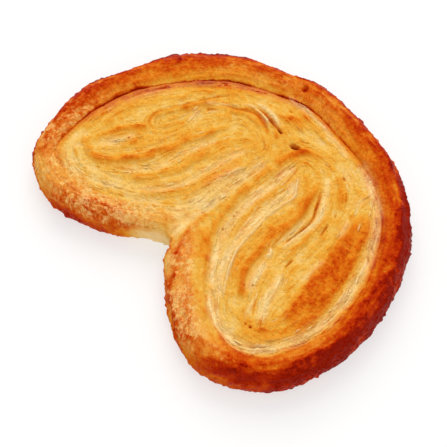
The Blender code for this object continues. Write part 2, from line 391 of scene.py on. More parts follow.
LEFT_FOLDS = (
    Fold(((-32.3, -4.3), (-33.5, -5.1), (-35.1, -4.5), (-36.1, -2.6), (-36.3, -0.4), (-35.1, 2.5),
          (-34.1, 4.8), (-32.6, 7.8), (-31.6, 10), (-30.5, 12.4), (-29.3, 14.8), (-27.8, 17.6),
          (-26.2, 19.4)), 0.45, right=0.5, rise=-0.5, bake=0.24),
    Fold(((-33.6, -3.4), (-34.9, -1.8), (-34.7, 0.6), (-33.4, 3.6), (-31.9, 6.3), (-30.4, 9), (-29.1, 11.6),
          (-27.6, 14.4), (-26, 16.8)), 0.8, right=1.0, rise=0.8, bake=0.14),
    Fold(((-25, 15.9), (-22.6, 17.8), (-20.3, 18.9), (-19, 20.1), (-16.8, 21.5), (-14.4, 22.1), (-11.5, 21.6),
          (-8.5, 20.5), (-5.8, 19.2)), 0.5, right=0.6, rise=-0.6, bake=0.22),
    Fold(((-25.5, 14.4), (-23.5, 16), (-21, 17.2), (-18, 18.9), (-15, 20), (-11, 19.8), (-8, 18.5)), 0.8,
         rise=0.4, bake=0.12),
    Fold(((-26.8, 11.3), (-25.4, 13), (-23.9, 14.5)), 0.32, rise=-0.9, bake=0.3, fade=1.2),
    Fold(((-28.5, 12), (-26.8, 14.2), (-25, 16), (-22.5, 18.6)), 0.5, rise=0.5, cream=0.5, layered=0.5),
    Fold(((-26, 10.6), (-24.6, 12.7), (-22.9, 15)), 0.5, rise=0.5, cream=0.55, layered=0.5),
    Fold(((-28.3, 10), (-27.4, 7), (-27, 4.6)), 1.5, right=1.3, rise=-0.2, cream=0.42, layered=0.5, fade=1.5),
    Fold(((-18.4, 24.2), (-16, 25.3), (-13.5, 25.7), (-11, 25.4), (-8.5, 24.9), (-6, 24.3)), 0.8, rise=0.7,
         cream=0.72, layered=0.6),
    Fold(((-17, 23.7), (-13.8, 24.1), (-10.9, 23.8), (-7.4, 23.5), (-5, 23.2)), 0.35, right=0.4, rise=-0.8,
         bake=0.3),
    Fold(((-21, 21.2), (-19, 22.4), (-16.8, 23.2), (-13.2, 23), (-8.5, 22)), 0.5, rise=0.5, cream=0.5,
         layered=0.6),
    Fold(((-6.5, 22.4), (-5.2, 21.5), (-3.5, 19.9)), 0.9, rise=0.3, bake=0.20, fade=1.5),
    Fold(((-9, 27.9), (-5, 28.7), (-2.4, 28.8), (0.4, 29)), 1.4, rise=0.5, bake=0.24),
    Fold(((-15.3, 27.6), (-13.7, 28)), 0.8, bake=0.16, fade=1.0),
    Fold(((-9.5, 30.4), (-7.6, 30.9)), 0.35, rise=-0.3, bake=0.2, fade=1.0),
    Fold(((-42.3, -20.6), (-41.6, -19.1), (-40.4, -16.8), (-39.5, -15), (-38.8, -12.4), (-36.8, -9.7),
          (-35, -7.6), (-32.6, -6.2)), 1.1, rise=0.8, bake=0.32),
    Fold(((-34, -15), (-32.9, -13.2), (-31.7, -11.6)), 0.9, right=0.8, rise=0.5, bake=0.34, fade=1.5),
    Fold(((-40.6, -22), (-38.5, -19.1), (-36.2, -15.6), (-35, -12.1), (-33.6, -10.1)), 1.2, rise=-0.4,
         cream=0.52, layered=0.5),
    Fold(((-45.2, -23.2), (-43.2, -23.9), (-40.3, -24.8), (-37.6, -25.4), (-35, -24.7), (-33.2, -23.2),
          (-31.5, -21.5), (-30, -19.4), (-28.6, -17.1), (-26.8, -15), (-25.3, -12.1), (-24.7, -9.1),
          (-23.5, -6.8), (-23, -4.4), (-22.4, -1.8), (-21.9, 0.8), (-20.5, 3.8), (-19.3, 7.2), (-18.2, 10.3),
          (-17.4, 13)), 1.3, right=0.9, rise=0.9, bake=0.26),
    Fold(((-45.4, -23.1), (-43.4, -23.9)), 1.1, bake=0.12, fade=1.0),
    Fold(((-34.2, -23.6), (-32.6, -22.4)), 0.9, bake=0.10, fade=1.0),
    Fold(((-28, -22.6), (-24, -17.5), (-21.3, -13), (-20.3, -8), (-19.4, -3), (-18, 2), (-16.3, 8)), 1.3,
         rise=-0.3, cream=0.34, layered=0.5),
    Fold(((-24, -22.3), (-19.9, -16.9), (-18.4, -14.2), (-16.1, -8.5), (-15.5, -4.6), (-15.2, -1.5),
          (-13.5, 3.4), (-12.8, 7.2), (-10.5, 9.5)), 1.7, right=1.1, rise=0.7, bake=0.15),
    Fold(((-19.3, -23), (-14.9, -17.3), (-11.7, -11.2), (-10.7, -6), (-9.5, 2.2), (-8.4, 8), (-7, 11.8)), 1.3,
         rise=-0.3, cream=0.42, layered=0.5),
    Fold(((-19.5, -24.9), (-16.1, -21.5), (-12.2, -16.9), (-8.2, -10.4), (-6, -2.3), (-4.6, 3.4),
          (-4.3, 7.2)), 1.8, right=1.2, rise=0.5, bake=0.11),
    Fold(((-46.9, -27.5), (-43, -30.2), (-37, -31.6), (-30, -29.8), (-24, -26.6)), 1.6, cream=0.28,
         layered=0.6),
    Fold(((-44.5, -16), (-43, -5), (-40, 1), (-36.5, 8), (-31, 16.5), (-25, 22.5)), 1.7, rise=0.2, bake=0.08),
    Fold(((-47, -13), (-46.6, -8), (-45, -2), (-42, 4), (-38, 10)), 1.5, bake=0.15, cream=0.2),
    Fold(((34.5, 25.6), (37.5, 22.4), (41.5, 16), (44, 10)), 1.5, bake=0.12),
    Fold(((-46.5, -6), (-44.9, 0.7), (-41.9, 6.5), (-38.5, 11), (-34, 16), (-29.3, 21), (-23.1, 26.3),
          (-17, 29.8)), 0.7, rise=-0.15, bake=0.14),
    Fold(((-45.9, -9.6), (-46.4, -12.5), (-46.8, -15.6)), 0.35, rise=-0.3, bake=0.15, fade=1.5),
    Fold(((-47.4, -31.8), (-43.4, -33.9), (-39.5, -34.3), (-35.5, -33.4)), 0.35, rise=-0.5, bake=0.2),
    Fold(((-23.9, 9.2), (-23.1, 9.9)), 0.7, bake=0.16, fade=0.8),
    Fold(((-28.9, 1), (-27.4, 3.5)), 0.5, bake=0.14, fade=0.8),
    Fold(((-14, -22.5), (-24, -26), (-34, -29.5), (-44, -28), (-48, -21)), 2.6, bake=-0.1, cream=0.14),
)  # fmt: skip

RIGHT_FOLDS = (
    Fold(((11.8, 25.2), (9, 25.1), (6.5, 24.4), (4.8, 23), (3.9, 21), (3.3, 18.8), (2.9, 16), (2.8, 12.5)),
         1.1, right=1.5, rise=1.0, bake=0.36),
    Fold(((6, 23.6), (4.6, 21.8), (3.6, 19)), 1.0, bake=0.12, fade=1.5),
    Fold(((2.8, 14), (2.8, 8), (2.9, 3), (2.9, -0.5), (3.4, -5), (3.9, -8.5), (5.1, -12.3), (6.9, -16.8),
          (9.2, -19.4), (11.9, -22.5), (14.2, -25.5), (17.4, -29.2), (20.5, -32), (23.4, -33.9), (27, -35.8)),
         1.2, right=1.4, rise=0.8, bake=0.19),
    Fold(((3.4, -4.5), (4.1, -8), (5.3, -11.5)), 1.3, bake=0.08),
    Fold(((0.4, -11), (0.9, -16), (1.1, -19.4), (1.6, -21.6), (2.6, -24), (4.4, -27.8), (5.6, -30)), 0.8,
         rise=0.3, bake=0.24),
    Fold(((1.4, -20.4), (1.7, -21.8)), 0.8, bake=0.16, fade=0.8),
    Fold(((4.3, -28), (5.1, -29.4)), 0.9, bake=0.2, fade=0.8),
    Fold(((6.9, 18.9), (7.4, 20.2), (8.2, 21.3), (9.7, 21.8), (11.5, 21.5), (13.2, 21.3)), 0.5, rise=0.3,
         bake=0.26),
    Fold(((12, 21.7), (13.6, 21.3), (15, 20.2), (16.3, 18.8), (17.3, 17.2), (17.9, 15), (18.8, 12.5),
          (19.8, 10), (20.6, 8), (20.9, 5), (20.8, 0), (20.7, -3.5), (20.9, -6.9), (21.5, -10), (22, -13.1),
          (22.6, -16), (23.8, -18.3), (26.2, -21.2), (29.7, -24.6)), 0.9, right=1.7, rise=1.2, bake=0.31),
    Fold(((21.2, -8.5), (21.8, -12), (22.4, -15.5)), 1.2, bake=0.10, fade=2.0),
    Fold(((16.5, 14), (17.2, 8), (17.5, 0), (17.6, -8), (18.3, -14), (20.2, -19)), 2.1, right=2.0, bake=0.15),
    Fold(((10.8, 18.5), (13, 17), (14.5, 15.5), (15.4, 13.3)), 0.8, rise=0.5, bake=0.26),
    Fold(((10.2, 17), (11.5, 14.6), (13, 12.8), (14.2, 11.2), (14.5, 9.5), (14.1, 7.5), (13.9, 5), (13.6, 2),
          (13.9, -2), (14.7, -5.5), (15, -8.5), (15.4, -11.5), (16.3, -14.5), (17.6, -17.3), (19.6, -20.8),
          (22, -24.3), (25, -28)), 0.35, right=0.45, rise=0.9, cream=0.88),
    Fold(((10.3, 15.2), (12.2, 11.6), (12.5, 8.5), (12.1, 5), (11.8, 1.5), (12.3, -3), (12.9, -6.9),
          (13.3, -10.8), (14, -14.6), (15.5, -18.5), (17.8, -22.3), (20.8, -26.3), (24.5, -29.5)), 1.5,
         rise=-0.4, cream=0.72, layered=0.8),
    Fold(((7, 18.5), (6.5, 15), (6.5, 10), (6.4, 6.5), (6.4, 3), (6.4, -2), (6.9, -6), (7.7, -9.8), (9, -13),
          (10.9, -16.5), (13.3, -20.3), (16.8, -24.6), (20.3, -28)), 1.4, rise=-0.9, cream=0.62, layered=1.0),
    Fold(((5.3, 17.3), (5.2, 13), (5.2, 9.5)), 0.28, rise=-0.6, bake=0.24),
    Fold(((7.9, 18.4), (8.7, 14.5), (9.1, 11.6)), 0.3, rise=-0.4, bake=0.22, fade=1.5),
    Fold(((6.8, 18.6), (6.4, 15.2)), 0.25, rise=-0.3, bake=0.16, fade=1.5),
    Fold(((9.4, 10), (9, 6), (9, 1), (9.5, -3), (10.5, -8), (12.2, -13)), 0.7, rise=0.4, bake=0.13),
    Fold(((18.4, 18.5), (19.3, 16.8), (20.5, 15), (22, 12.3), (23.3, 10.2), (23.9, 8), (24, 4), (23.9, 1),
          (23.8, -2), (24, -3.6)), 0.38, rise=-1.3, bake=0.28),
    Fold(((15.3, 22.6), (17.2, 21.7), (19, 19.9), (20.6, 17.6), (22.2, 15.2), (23.9, 12.6), (25, 10),
          (25.2, 6.5), (25, 3), (24.7, -1), (24.4, -4.5)), 1.0, right=0.9, rise=0.6, cream=0.75, layered=0.7),
    Fold(((22.2, 9), (22.6, 5), (22.6, 0), (22.5, -4)), 0.7, rise=-0.2, cream=0.42, layered=0.5),
    Fold(((22.2, -7), (23.3, -7.2), (23.9, -8.4), (23.4, -9.8)), 0.6, rise=0.7, cream=0.85, fade=1.0),
    Fold(((24.7, -9.5), (25.4, -13.5), (26.3, -16.5), (27.6, -19.3), (28.8, -21.6)), 1.4, rise=0.3, cream=0.6,
         layered=1.0),
    Fold(((29.6, -9.3), (31.5, -11.5), (32.8, -14.5), (33.6, -17.5), (35, -20.5), (36.8, -23.3),
          (38.3, -25.8)), 1.3, rise=0.6, cream=0.7, layered=0.6),
    Fold(((30.4, -20.3), (31.6, -22.5), (33, -25.4), (34.3, -27.9)), 0.6, rise=0.5, cream=0.6),
    Fold(((31.3, -20.3), (33.2, -23), (35.2, -25.6)), 0.35, rise=-0.4, bake=0.24, fade=1.5),
    Fold(((31.3, 23.4), (33.6, 18.7), (36.1, 14.7), (38.1, 9.5), (40.2, 5), (41.2, 1), (42.2, -4),
          (43.6, -8.5), (44.2, -12.5), (44.6, -16), (44.6, -19.5), (43.6, -23)), 4.2, right=4.4, rise=1.0,
         bake=0.42, fade=10.0, flat=True),
    Fold(((34.5, 22.8), (38.3, 17.6), (40.8, 12.3), (42.8, 7.5), (44.6, 2.5), (45.9, -4), (46.9, -9.5),
          (47.3, -15), (46.8, -19.8)), 1.0, right=1.2, bake=0.15),
    Fold(((39.2, 4), (41.5, 0), (42.5, -6)), 1.8, bake=0.06),
    Fold(((37.6, 7), (38.6, -1), (40, -7), (41.6, -12), (43, -17)), 3.2, right=3.0, bake=0.2, fade=6.0,
         flat=True),
    Fold(((30.8, -25.6), (34, -27.5), (37.2, -27.9), (41.7, -26.6), (45, -21.8), (46.4, -16)), 1.5,
         bake=0.15),
    Fold(((39.5, -25.6), (41.2, -26.6)), 1.1, bake=0.2, fade=1.0),
    Fold(((29.4, 27.4), (29, 24), (29.8, 20.3)), 1.2, rise=-0.2, cream=0.42, layered=0.4),
    Fold(((31.2, 18.5), (32.6, 13.7), (33.6, 10)), 0.9, rise=0.2, cream=0.4, layered=0.4),
    Fold(((35.6, 3), (35.8, -2.4), (36.7, -8)), 0.9, rise=0.3, cream=0.52, layered=0.5),
    Fold(((28.1, 11.7), (28.6, 9.5), (29.3, 7.3)), 0.3, rise=-0.8, bake=0.3, fade=1.0),
    Fold(((29.5, -4), (29.6, -6), (29.8, -8)), 0.3, rise=-0.8, bake=0.3, fade=1.0),
    Fold(((26.7, 16.3), (27.8, 14.7)), 0.28, rise=-0.5, bake=0.24, fade=0.8),
    Fold(((22.9, 13.7), (24.2, 14.1)), 0.25, rise=-0.4, bake=0.22, fade=0.8),
    Fold(((17, 25.6), (21, 23.6), (24.6, 20), (27, 16)), 1.2, rise=0.4, bake=0.13),
    Fold(((26.9, 12), (27.1, 5), (27.4, -1), (27.6, -4)), 0.9, rise=0.3, bake=0.15),
    Fold(((31.4, -3.5), (31.8, -6), (32.1, -8.5)), 1.0, rise=0.3, bake=0.16, fade=1.5),
    Fold(((15.8, 29.4), (20, 27.7), (24.3, 26)), 1.2, rise=-0.2, cream=0.36, layered=0.4),
    Fold(((33, -30), (38, -30.4), (42, -29)), 1.8, right=1.4, rise=0.3, bake=0.12),
    Fold(((18.5, 33.9), (23, 32.2), (27.5, 30.2), (31.7, 27.7), (35, 25.5), (37.5, 23), (40, 20), (42, 16.7),
          (44, 13.5), (45.7, 9.5), (47.3, 5), (48.6, 1), (49.6, -3.5), (50.2, -7.5), (50.5, -12.5),
          (50.3, -16.5), (49.5, -20.5), (48.3, -23.8), (46.5, -27.5), (44, -31.2), (41.5, -33.3), (38, -34.6),
          (33, -34.8), (28, -33.6), (23, -30.6), (19.5, -27.6)), 1.4, rise=-0.9, cream=0.64, layered=1.0),
    Fold(((22.4, 32.6), (23.6, 32)), 0.35, rise=-0.7, bake=0.26, fade=0.6),
    Fold(((30.6, 28.3), (32.4, 27)), 0.28, rise=-0.8, bake=0.3, fade=0.8),
    Fold(((35.6, 24.9), (36.7, 23.8), (38.5, 21.8), (40, 19.8), (41, 17.8)), 0.32, rise=-0.9, bake=0.32,
         fade=1.5),
    Fold(((41.5, 17.3), (42.8, 16), (44.2, 14.8)), 0.28, rise=-0.6, bake=0.26, fade=0.8),
    Fold(((42.8, 14), (44, 13.2), (45.5, 11.8)), 0.28, rise=-0.6, bake=0.26, fade=0.8),
    Fold(((45.1, 6.2), (45.4, 4.8)), 0.35, rise=-0.5, bake=0.22, fade=0.6),
    Fold(((51.3, -16.5), (50.9, -19.5), (49.9, -22.6), (48, -26.5)), 0.3, rise=-0.9, bake=0.28, fade=1.5),
    Fold(((44.7, -29.8), (41, -32.5)), 0.35, rise=-0.6, bake=0.24, fade=1.0),
    Fold(((49.1, -22.6), (47.3, -26.3), (45, -29.9), (42, -33), (38, -34.9), (33, -35.2), (28, -34)), 0.4,
         rise=0.6, cream=0.85),
    Fold(((-14, 32.9), (-5, 34.3), (2, 34.2), (10, 33.3), (16, 32.3)), 0.9, rise=0.2, cream=0.4, layered=0.9),
)  # fmt: skip

JOIN_FOLDS = (
    Fold(((-0.8, 13), (-0.5, 5.3), (-1, -4), (-1.3, -12), (-1.5, -20), (-1.2, -27)), 1.2, right=1.9,
         rise=-0.6, cream=0.52, layered=0.7),
    Fold(((-3, 7), (-3.2, -6), (-4, -14), (-4.6, -22)), 2.6, bake=-0.06, cream=0.42, layered=0.4),
    Fold(((-1.1, -4.3), (-1.0, -3.1)), 0.3, rise=-0.5, bake=0.28, fade=0.4),
    Fold(((-0.9, -6.7), (-0.9, -5.7)), 0.28, rise=-0.5, bake=0.26, fade=0.4),
    Fold(((-0.7, -13.2), (-0.7, -12.2)), 0.3, rise=-0.4, bake=0.24, fade=0.4),
    Fold(((0.1, 10.2), (-0.4, 7), (-0.8, 4.4)), 0.3, rise=-0.3, bake=0.12, fade=1.5),
)  # fmt: skip

# Where the two coils part, from the mouth of the notch to the back.
SEAM = ((-0.6, -30), (-0.4, -14), (-0.1, 4), (0.4, 14), (1.5, 22.8), (1.5, 40))


@dataclass(frozen=True)
class Pit:
    """A small hole where the layers part: its middle, how far it reaches each way, its turn and its depth."""

    x: float
    y: float
    length: float
    width: float
    turn_deg: float
    depth: float


PITS = (
    Pit(1.75, 22.8, 1.5, 0.8, 15, 4.0),
    Pit(-5.6, 23.3, 1.1, 0.38, -14, 2.6),
    Pit(-10.7, 38.8, 0.85, 1.1, 0, 1.1),
    Pit(-35.2, -12.9, 0.4, 0.35, 0, 0.9),
    Pit(37.2, -28.2, 0.5, 0.4, 10, 1.0),
    Pit(35.5, -28.6, 0.4, 0.3, 10, 0.7),
    Pit(19.8, 26.3, 0.7, 0.35, -15, 0.9),
    Pit(6.2, -5.4, 0.3, 0.35, 0, 0.6),
    Pit(6.6, -6.9, 0.3, 0.3, 0, 0.6),
    Pit(7.6, -12.4, 0.3, 0.3, 0, 0.6),
    Pit(28.0, -18.8, 0.4, 0.3, 60, 0.6),
    Pit(26.4, -20.8, 0.35, 0.3, 0, 0.6),
    Pit(-5.9, -13.5, 0.3, 0.3, 0, 0.5),
    Pit(-33.4, -26.5, 0.35, 0.3, 0, 0.5),
)


# -------------------- The plan seen from above --------------------


@dataclass(frozen=True)
class Plan:
    """A grid of square cells over the pastry seen from above, which holds heights and shades.

    Attributes:
        cell: Width of a cell.
        half_x: How far the grid reaches to each side.
        half_y: How far it reaches to the front and back.
    """

    cell: float = 0.2
    half_x: float = 64.0
    half_y: float = 50.0

    @property
    def shape(self) -> tuple[int, int]:
        """Rows and columns."""
        return round(2 * self.half_y / self.cell) + 1, round(2 * self.half_x / self.cell) + 1

    def places(self) -> tuple[Array, Array]:
        """The x and y of each cell."""
        rows, columns = self.shape
        x, y = np.arange(columns) * self.cell - self.half_x, np.arange(rows) * self.cell - self.half_y
        return np.meshgrid(x, y)

    def lumps(self, size: float, seed: int) -> Array:
        """Smooth random lumps about size across, of mean 0 and spread 1."""
        return cloud(self.shape, (size / self.cell, size / self.cell), seed)

    def window(self, curve: Array, reach: float) -> tuple[slice, slice]:
        """The rows and columns within reach of a curve."""
        places = (curve[:, 1] + self.half_y, curve[:, 0] + self.half_x)
        rows, columns = (
            slice(max(0, int((place.min() - reach) / self.cell)), int((place.max() + reach) / self.cell) + 2)
            for place in places
        )
        return rows, columns

    def read(self, values: Array, x: Array, y: Array) -> Array:
        """Reads a grid of values between its cells.

        Args:
            values: One value for each cell.
            x: Where to read.
            y: Where to read.

        Returns:
            The values there.
        """
        column = np.clip((x + self.half_x) / self.cell, 0, self.shape[1] - 1.001)
        row = np.clip((y + self.half_y) / self.cell, 0, self.shape[0] - 1.001)
        c, r = column.astype(int), row.astype(int)
        across, down = column - c, row - r
        top = values[r, c] * (1 - across) + values[r, c + 1] * across
        bottom = values[r + 1, c] * (1 - across) + values[r + 1, c + 1] * across
        return top * (1 - down) + bottom * down

    def under(self, piece: bpy.types.Object, values: Array) -> Array:
        """Reads a grid of values at a piece's points."""
        x, y, _ = read_points(piece).T / MM
        return self.read(values, x, y)


@dataclass
class Outline:
    """The crust band's two edges and what changes round it, worked out from the stations.

    Attributes:
        width: The solid's width in millimetres, which the stations are scaled to.
        table: One row for each sample round the band, with the stations' numbers.
    """

    width: float
    table: Array = field(init=False)

    def __post_init__(self) -> None:
        """Runs smooth curves through the stations and centres them as the solid is centred."""
        rows = catmull(np.array([s.row() for s in STATIONS]), closed=True, steps=40)
        low, high = rows[:, :2].min(axis=0), rows[:, :2].max(axis=0)
        middle = (low + high) / 2
        scale = self.width / (high[0] - low[0])
        rows[:, :2] = (rows[:, :2] - middle) * scale
        self.table = respaced(np.vstack([rows, rows[:1]]), 0.25)

    @property
    def edge(self) -> Array:
        """The outer edge, closed."""
        return self.table[:, :2]

    @property
    def inner(self) -> Array:
        """Where the coiled layers start, closed."""
        return self.table[:, 2:4]


@dataclass
class Layers:
    """Which way the thin layers run at each place, and the streaks that they leave.

    Attributes:
        plan: The grid that holds them.
        guides: The curves that the layers follow.
        east: How far the layers run to the side, for each cell.
        north: How far they run to the back.
    """

    plan: Plan
    guides: Sequence[Array]
    east: Array = field(init=False)
    north: Array = field(init=False)

    def __post_init__(self) -> None:
        """Works out the run of the layers from the curves near each place."""
        places, doubled = [], []
        for guide in self.guides:
            curve = respaced(guide, 1.6)
            along = np.gradient(curve[:, :2], axis=0)
            angle = 2 * np.arctan2(along[:, 1], along[:, 0])
            places.append(curve[:, :2])
            doubled.append(np.stack([np.cos(angle), np.sin(angle)], axis=1))
        place, heading = np.vstack(places), np.vstack(doubled)
        coarse = Plan(1.0, self.plan.half_x, self.plan.half_y)
        x, y = coarse.places()
        weight = 1 / ((x[:, :, None] - place[:, 0]) ** 2 + (y[:, :, None] - place[:, 1]) ** 2 + 0.6) ** 2
        mean = (weight @ heading).transpose(2, 0, 1) / weight.sum(axis=2)
        doubled_east, doubled_north = (coarse.read(values, *self.plan.places()) for values in mean)
        angle = 0.5 * np.arctan2(doubled_north, doubled_east)
        self.east, self.north = np.cos(angle), np.sin(angle)

    def streaks(self, size: float, length: float, seed: int) -> Array:
        """Draws random lumps out along the layers.

        Args:
            size: How wide a streak is.
            length: How far it is drawn out to each side.
            seed: Picks the pattern.

        Returns:
            Values of mean 0 and spread 1.
        """
        lumps = self.plan.lumps(size, seed)
        rows, columns = self.plan.shape
        total = lumps.copy()
        stride = 1.5
        for sense in (1.0, -1.0):
            column, row = np.meshgrid(np.arange(columns, dtype=float), np.arange(rows, dtype=float))
            east, north = self.east * sense, self.north * sense
            for _ in range(int(length / (stride * self.plan.cell))):
                column += east * stride
                row += north * stride
                c = np.clip(column.round().astype(int), 0, columns - 1)
                r = np.clip(row.round().astype(int), 0, rows - 1)
                total += lumps[r, c]
                new_east, new_north = self.east[r, c], self.north[r, c]
                turn = np.where(new_east * east + new_north * north < 0, -1.0, 1.0)
                east, north = new_east * turn, new_north * turn
        total -= total.mean()
        return total / total.std()


@dataclass
class BakedTop:
    """Heights and shades of everything that shows from above.

    Attributes:
        plan: The grid that holds them.
        outline: The band's edges.
        shoulder: Height at which the band's wall turns into its top.
        crown_at: Share of the band's width, from its outer edge, at which it is highest.
        fold_lift: What the rise of every fold is multiplied by.
        fold_bake: How much browner folds may get before more of it counts little.
        height: Height of each cell.
        bake: How brown it is, with painted shade in its cracks, splits and holes and just behind the band.
        cream: How pale and unbaked it is.
        layered: How plainly thin layers show.
        frothy: How frothy the skin of the coils is.
        browned: How brown the folds of the coils make it, without the rest.
        within_edge: How far within the outer edge it lies.
        within_inner: How far within the coils it lies, negative on the band.
        around: The stations' numbers there.
        layers: Which way the layers run.
    """

    plan: Plan
    outline: Outline
    shoulder: float = 9.4
    crown_at: float = 0.48
    fold_lift: float = 1.12
    fold_bake: float = 0.40
    height: Array = field(init=False)
    bake: Array = field(init=False)
    cream: Array = field(init=False)
    layered: Array = field(init=False)
    frothy: Array = field(init=False)
    browned: Array = field(init=False)
    within_edge: Array = field(init=False)
    within_inner: Array = field(init=False)
    around: dict[Column, Array] = field(init=False)
    layers: Layers = field(init=False)

    def __post_init__(self) -> None:
        """Works the surface out from the folds, the streaks and the band."""
        self.measure()
        self.height, self.bake, self.cream, self.layered = np.zeros((4, *self.plan.shape))
        folds = (*LEFT_FOLDS, *RIGHT_FOLDS, *JOIN_FOLDS)
        patchy = self.plan.lumps(2.2, 11)
        for fold in folds:
            self.press(fold, patchy)
        self.bake -= 0.7 * np.maximum(self.bake - self.fold_bake, 0)
        for pit in PITS:
            self.pierce(pit)
        guides = [fold.curve() for fold in folds if len(fold.points) > 2]
        self.layers = Layers(self.plan, [self.outline.edge, self.outline.inner, *guides])
        self.settle()

    def measure(self) -> None:
        """Finds how far each place lies within the band's two edges, and what the band is like there."""
        coarse = Plan(0.8, self.plan.half_x, self.plan.half_y)
        fine = self.plan.places()
        table = respaced(self.outline.table, coarse.cell)
        away, place, side = nearest_on(table, *coarse.places())
        self.within_edge = coarse.read(-side * away, *fine)
        self.around = {}
        for column in Column:
            values = np.interp(place, np.arange(len(table)), table[:, column.value])
            self.around[column] = coarse.read(values, *fine)
        away, _, side = nearest_on(table[:, 2:4], *coarse.places())
        self.within_inner = coarse.read(-side * away, *fine)

    def press(self, fold: Fold, patchy: Array) -> None:
        """Adds one fold to the height and the shades.

        Args:
            fold: The fold.
            patchy: Lumps that make it stronger here and weaker there.
        """
        curve = fold.curve()
        window = self.plan.window(curve, 2.6 * max(fold.widths()))
        away, place, side = nearest_on(curve, *(values[window] for values in self.plan.places()))
        width = np.where(side > 0, *fold.widths())
        from_end = np.minimum(place, len(curve) - 1 - place) * FOLD_GAP
        weight = np.exp(-((away / width) ** (4 if fold.flat else 2))) * ease(-0.3, fold.fade, from_end)
        weight *= np.clip(0.9 + 0.16 * patchy[window], 0.4, 1.3)
        self.height[window] += self.fold_lift * fold.rise * weight
        self.bake[window] += fold.bake * weight
        self.cream[window] = np.maximum(self.cream[window], fold.cream * weight)
        self.layered[window] = np.maximum(self.layered[window], fold.layered * weight)

    def pierce(self, pit: Pit) -> None:
        """Adds one small hole."""
        x, y = self.plan.places()
        turn = math.radians(pit.turn_deg)
        dx, dy = x - pit.x, y - pit.y
        along = dx * math.cos(turn) + dy * math.sin(turn)
        across = dy * math.cos(turn) - dx * math.sin(turn)
        weight = np.exp(-(((along / pit.length) ** 2 + (across / pit.width) ** 2) ** 1.5))
        self.height -= pit.depth * weight
        # Darker and not pale in the hole, more so the deeper it is: painted shade.
        self.bake += min(0.5, 0.3 * pit.depth) * weight
        self.cream *= 1 - weight

    def outer_slope(self, crown: Array, share: Array) -> Array:
        """Height of the band between its shoulder and its crown, at that share of its width."""
        rise = np.sin(np.pi / 2 * np.clip(share / self.crown_at, 0, 1)) ** 0.9
        return self.shoulder + (crown - self.shoulder) * rise

    def lie(self, share: Array, behind: Array) -> Array:
        """Height of the band and the coils without folds or roughness.

        Args:
            share: How far across the band a place lies, from 0 at its edge to 1.
            behind: How far behind the band it lies, 0 on the band.
        """
        crown, crevice = self.around[Column.CROWN], self.around[Column.CREVICE]
        level = ROLL_HEIGHT - 0.25 + 0.6 * ease(0.0, 9.0, behind) + 1.0 * crevice * np.exp(-behind / 3.0)
        lip = ROLL_HEIGHT - 0.15 + 0.95 * crevice
        fall = np.clip((share - self.crown_at) / (1 - self.crown_at), 0, 1)
        arch = self.outer_slope(crown, share) - (crown - lip) * fall**2
        return np.where(self.within_inner < 0, arch, level)

    def brown_band(self, across: Array, marbling: Array) -> Array:
        """How brown the band is.

        Args:
            across: How far across the band a place lies, a little ragged.
            marbling: How much browner the marbling makes the outer side.
        """
        shades = (Column.OUTER_BAKE, Column.MIDDLE_BAKE, Column.INNER_BAKE)
        outer, middle, inner = (self.around[column] for column in shades)
        banded = outer + (middle - outer) * ease(0.14, 0.56, across)
        banded += (inner - middle) * ease(0.5, 0.85, across)
        return banded + marbling * ease(0.5, 0.7, outer)

    def settle(self) -> None:
        """Adds up the height and the shades."""
        plan, layers = self.plan, self.layers
        # Streaks along the layers from wide to thin, and lumps from small to large.
        broad, fine = layers.streaks(0.9, 5.0, 21), layers.streaks(0.36, 3.0, 22)
        thin = layers.streaks(0.2, 2.0, 25)
        grain, mottle, slow = plan.lumps(0.4, 23), plan.lumps(1.1, 24), plan.lumps(4.5, 26)
        crevice, layered = self.around[Column.CREVICE], self.layered
        inner = self.within_inner
        edge, behind, ahead = (np.maximum(way, 0.0) for way in (self.within_edge, inner, -inner))
        share = edge / np.maximum(edge + ahead, 0.01)
        coiled = np.where(ahead > 0, 0.0, 1.0)
        base = self.lie(share, behind)

        froth = 1.15 * self.around[Column.BLISTER] * (1 - ease(4.5, 9.5, edge + 1.2 * slow))
        self.frothy, self.browned = np.clip(froth, 0, 1), np.clip(2.4 * self.bake, 0, 1)
        at = np.stack([*plan.places(), base])
        skin, skin_tone, skin_pale = Crust().grow(at, self.frothy * coiled, self.browned * coiled)
        # Splits between thin layers, chips that lift, the crack behind the band and a faint one after it.
        split = ease(1.0, 2.0, thin + 0.6 * fine - 0.5 + 0.9 * layered) * coiled * (1 - self.browned)
        chip = ease(1.1, 2.1, fine - 0.5 * thin - 0.3 + 0.9 * layered) * (1 - split) * coiled
        crack_place = (inner - 0.2 + 0.14 * slow + 0.1 * broad) / 0.23
        crack = crevice * ease(-1.6, 0.6, broad + 0.5 * slow) * np.exp(-(crack_place**2))
        faint_place = (behind - 1.3 + 0.25 * slow + 0.1 * broad) / 0.22
        faint_crack = crevice * np.exp(-(faint_place**2)) * ease(-0.6, 0.8, broad - 0.4 * slow) * coiled
        rough = 0.14 * broad + (0.10 + 0.10 * layered) * fine + (0.05 + 0.04 * layered) * thin
        rough += 0.07 * grain + 0.07 * mottle + 0.10 * slow + 0.14 * chip - 0.28 * split + skin
        self.height = base + self.height + rough - 0.7 * crack - 0.25 * faint_crack
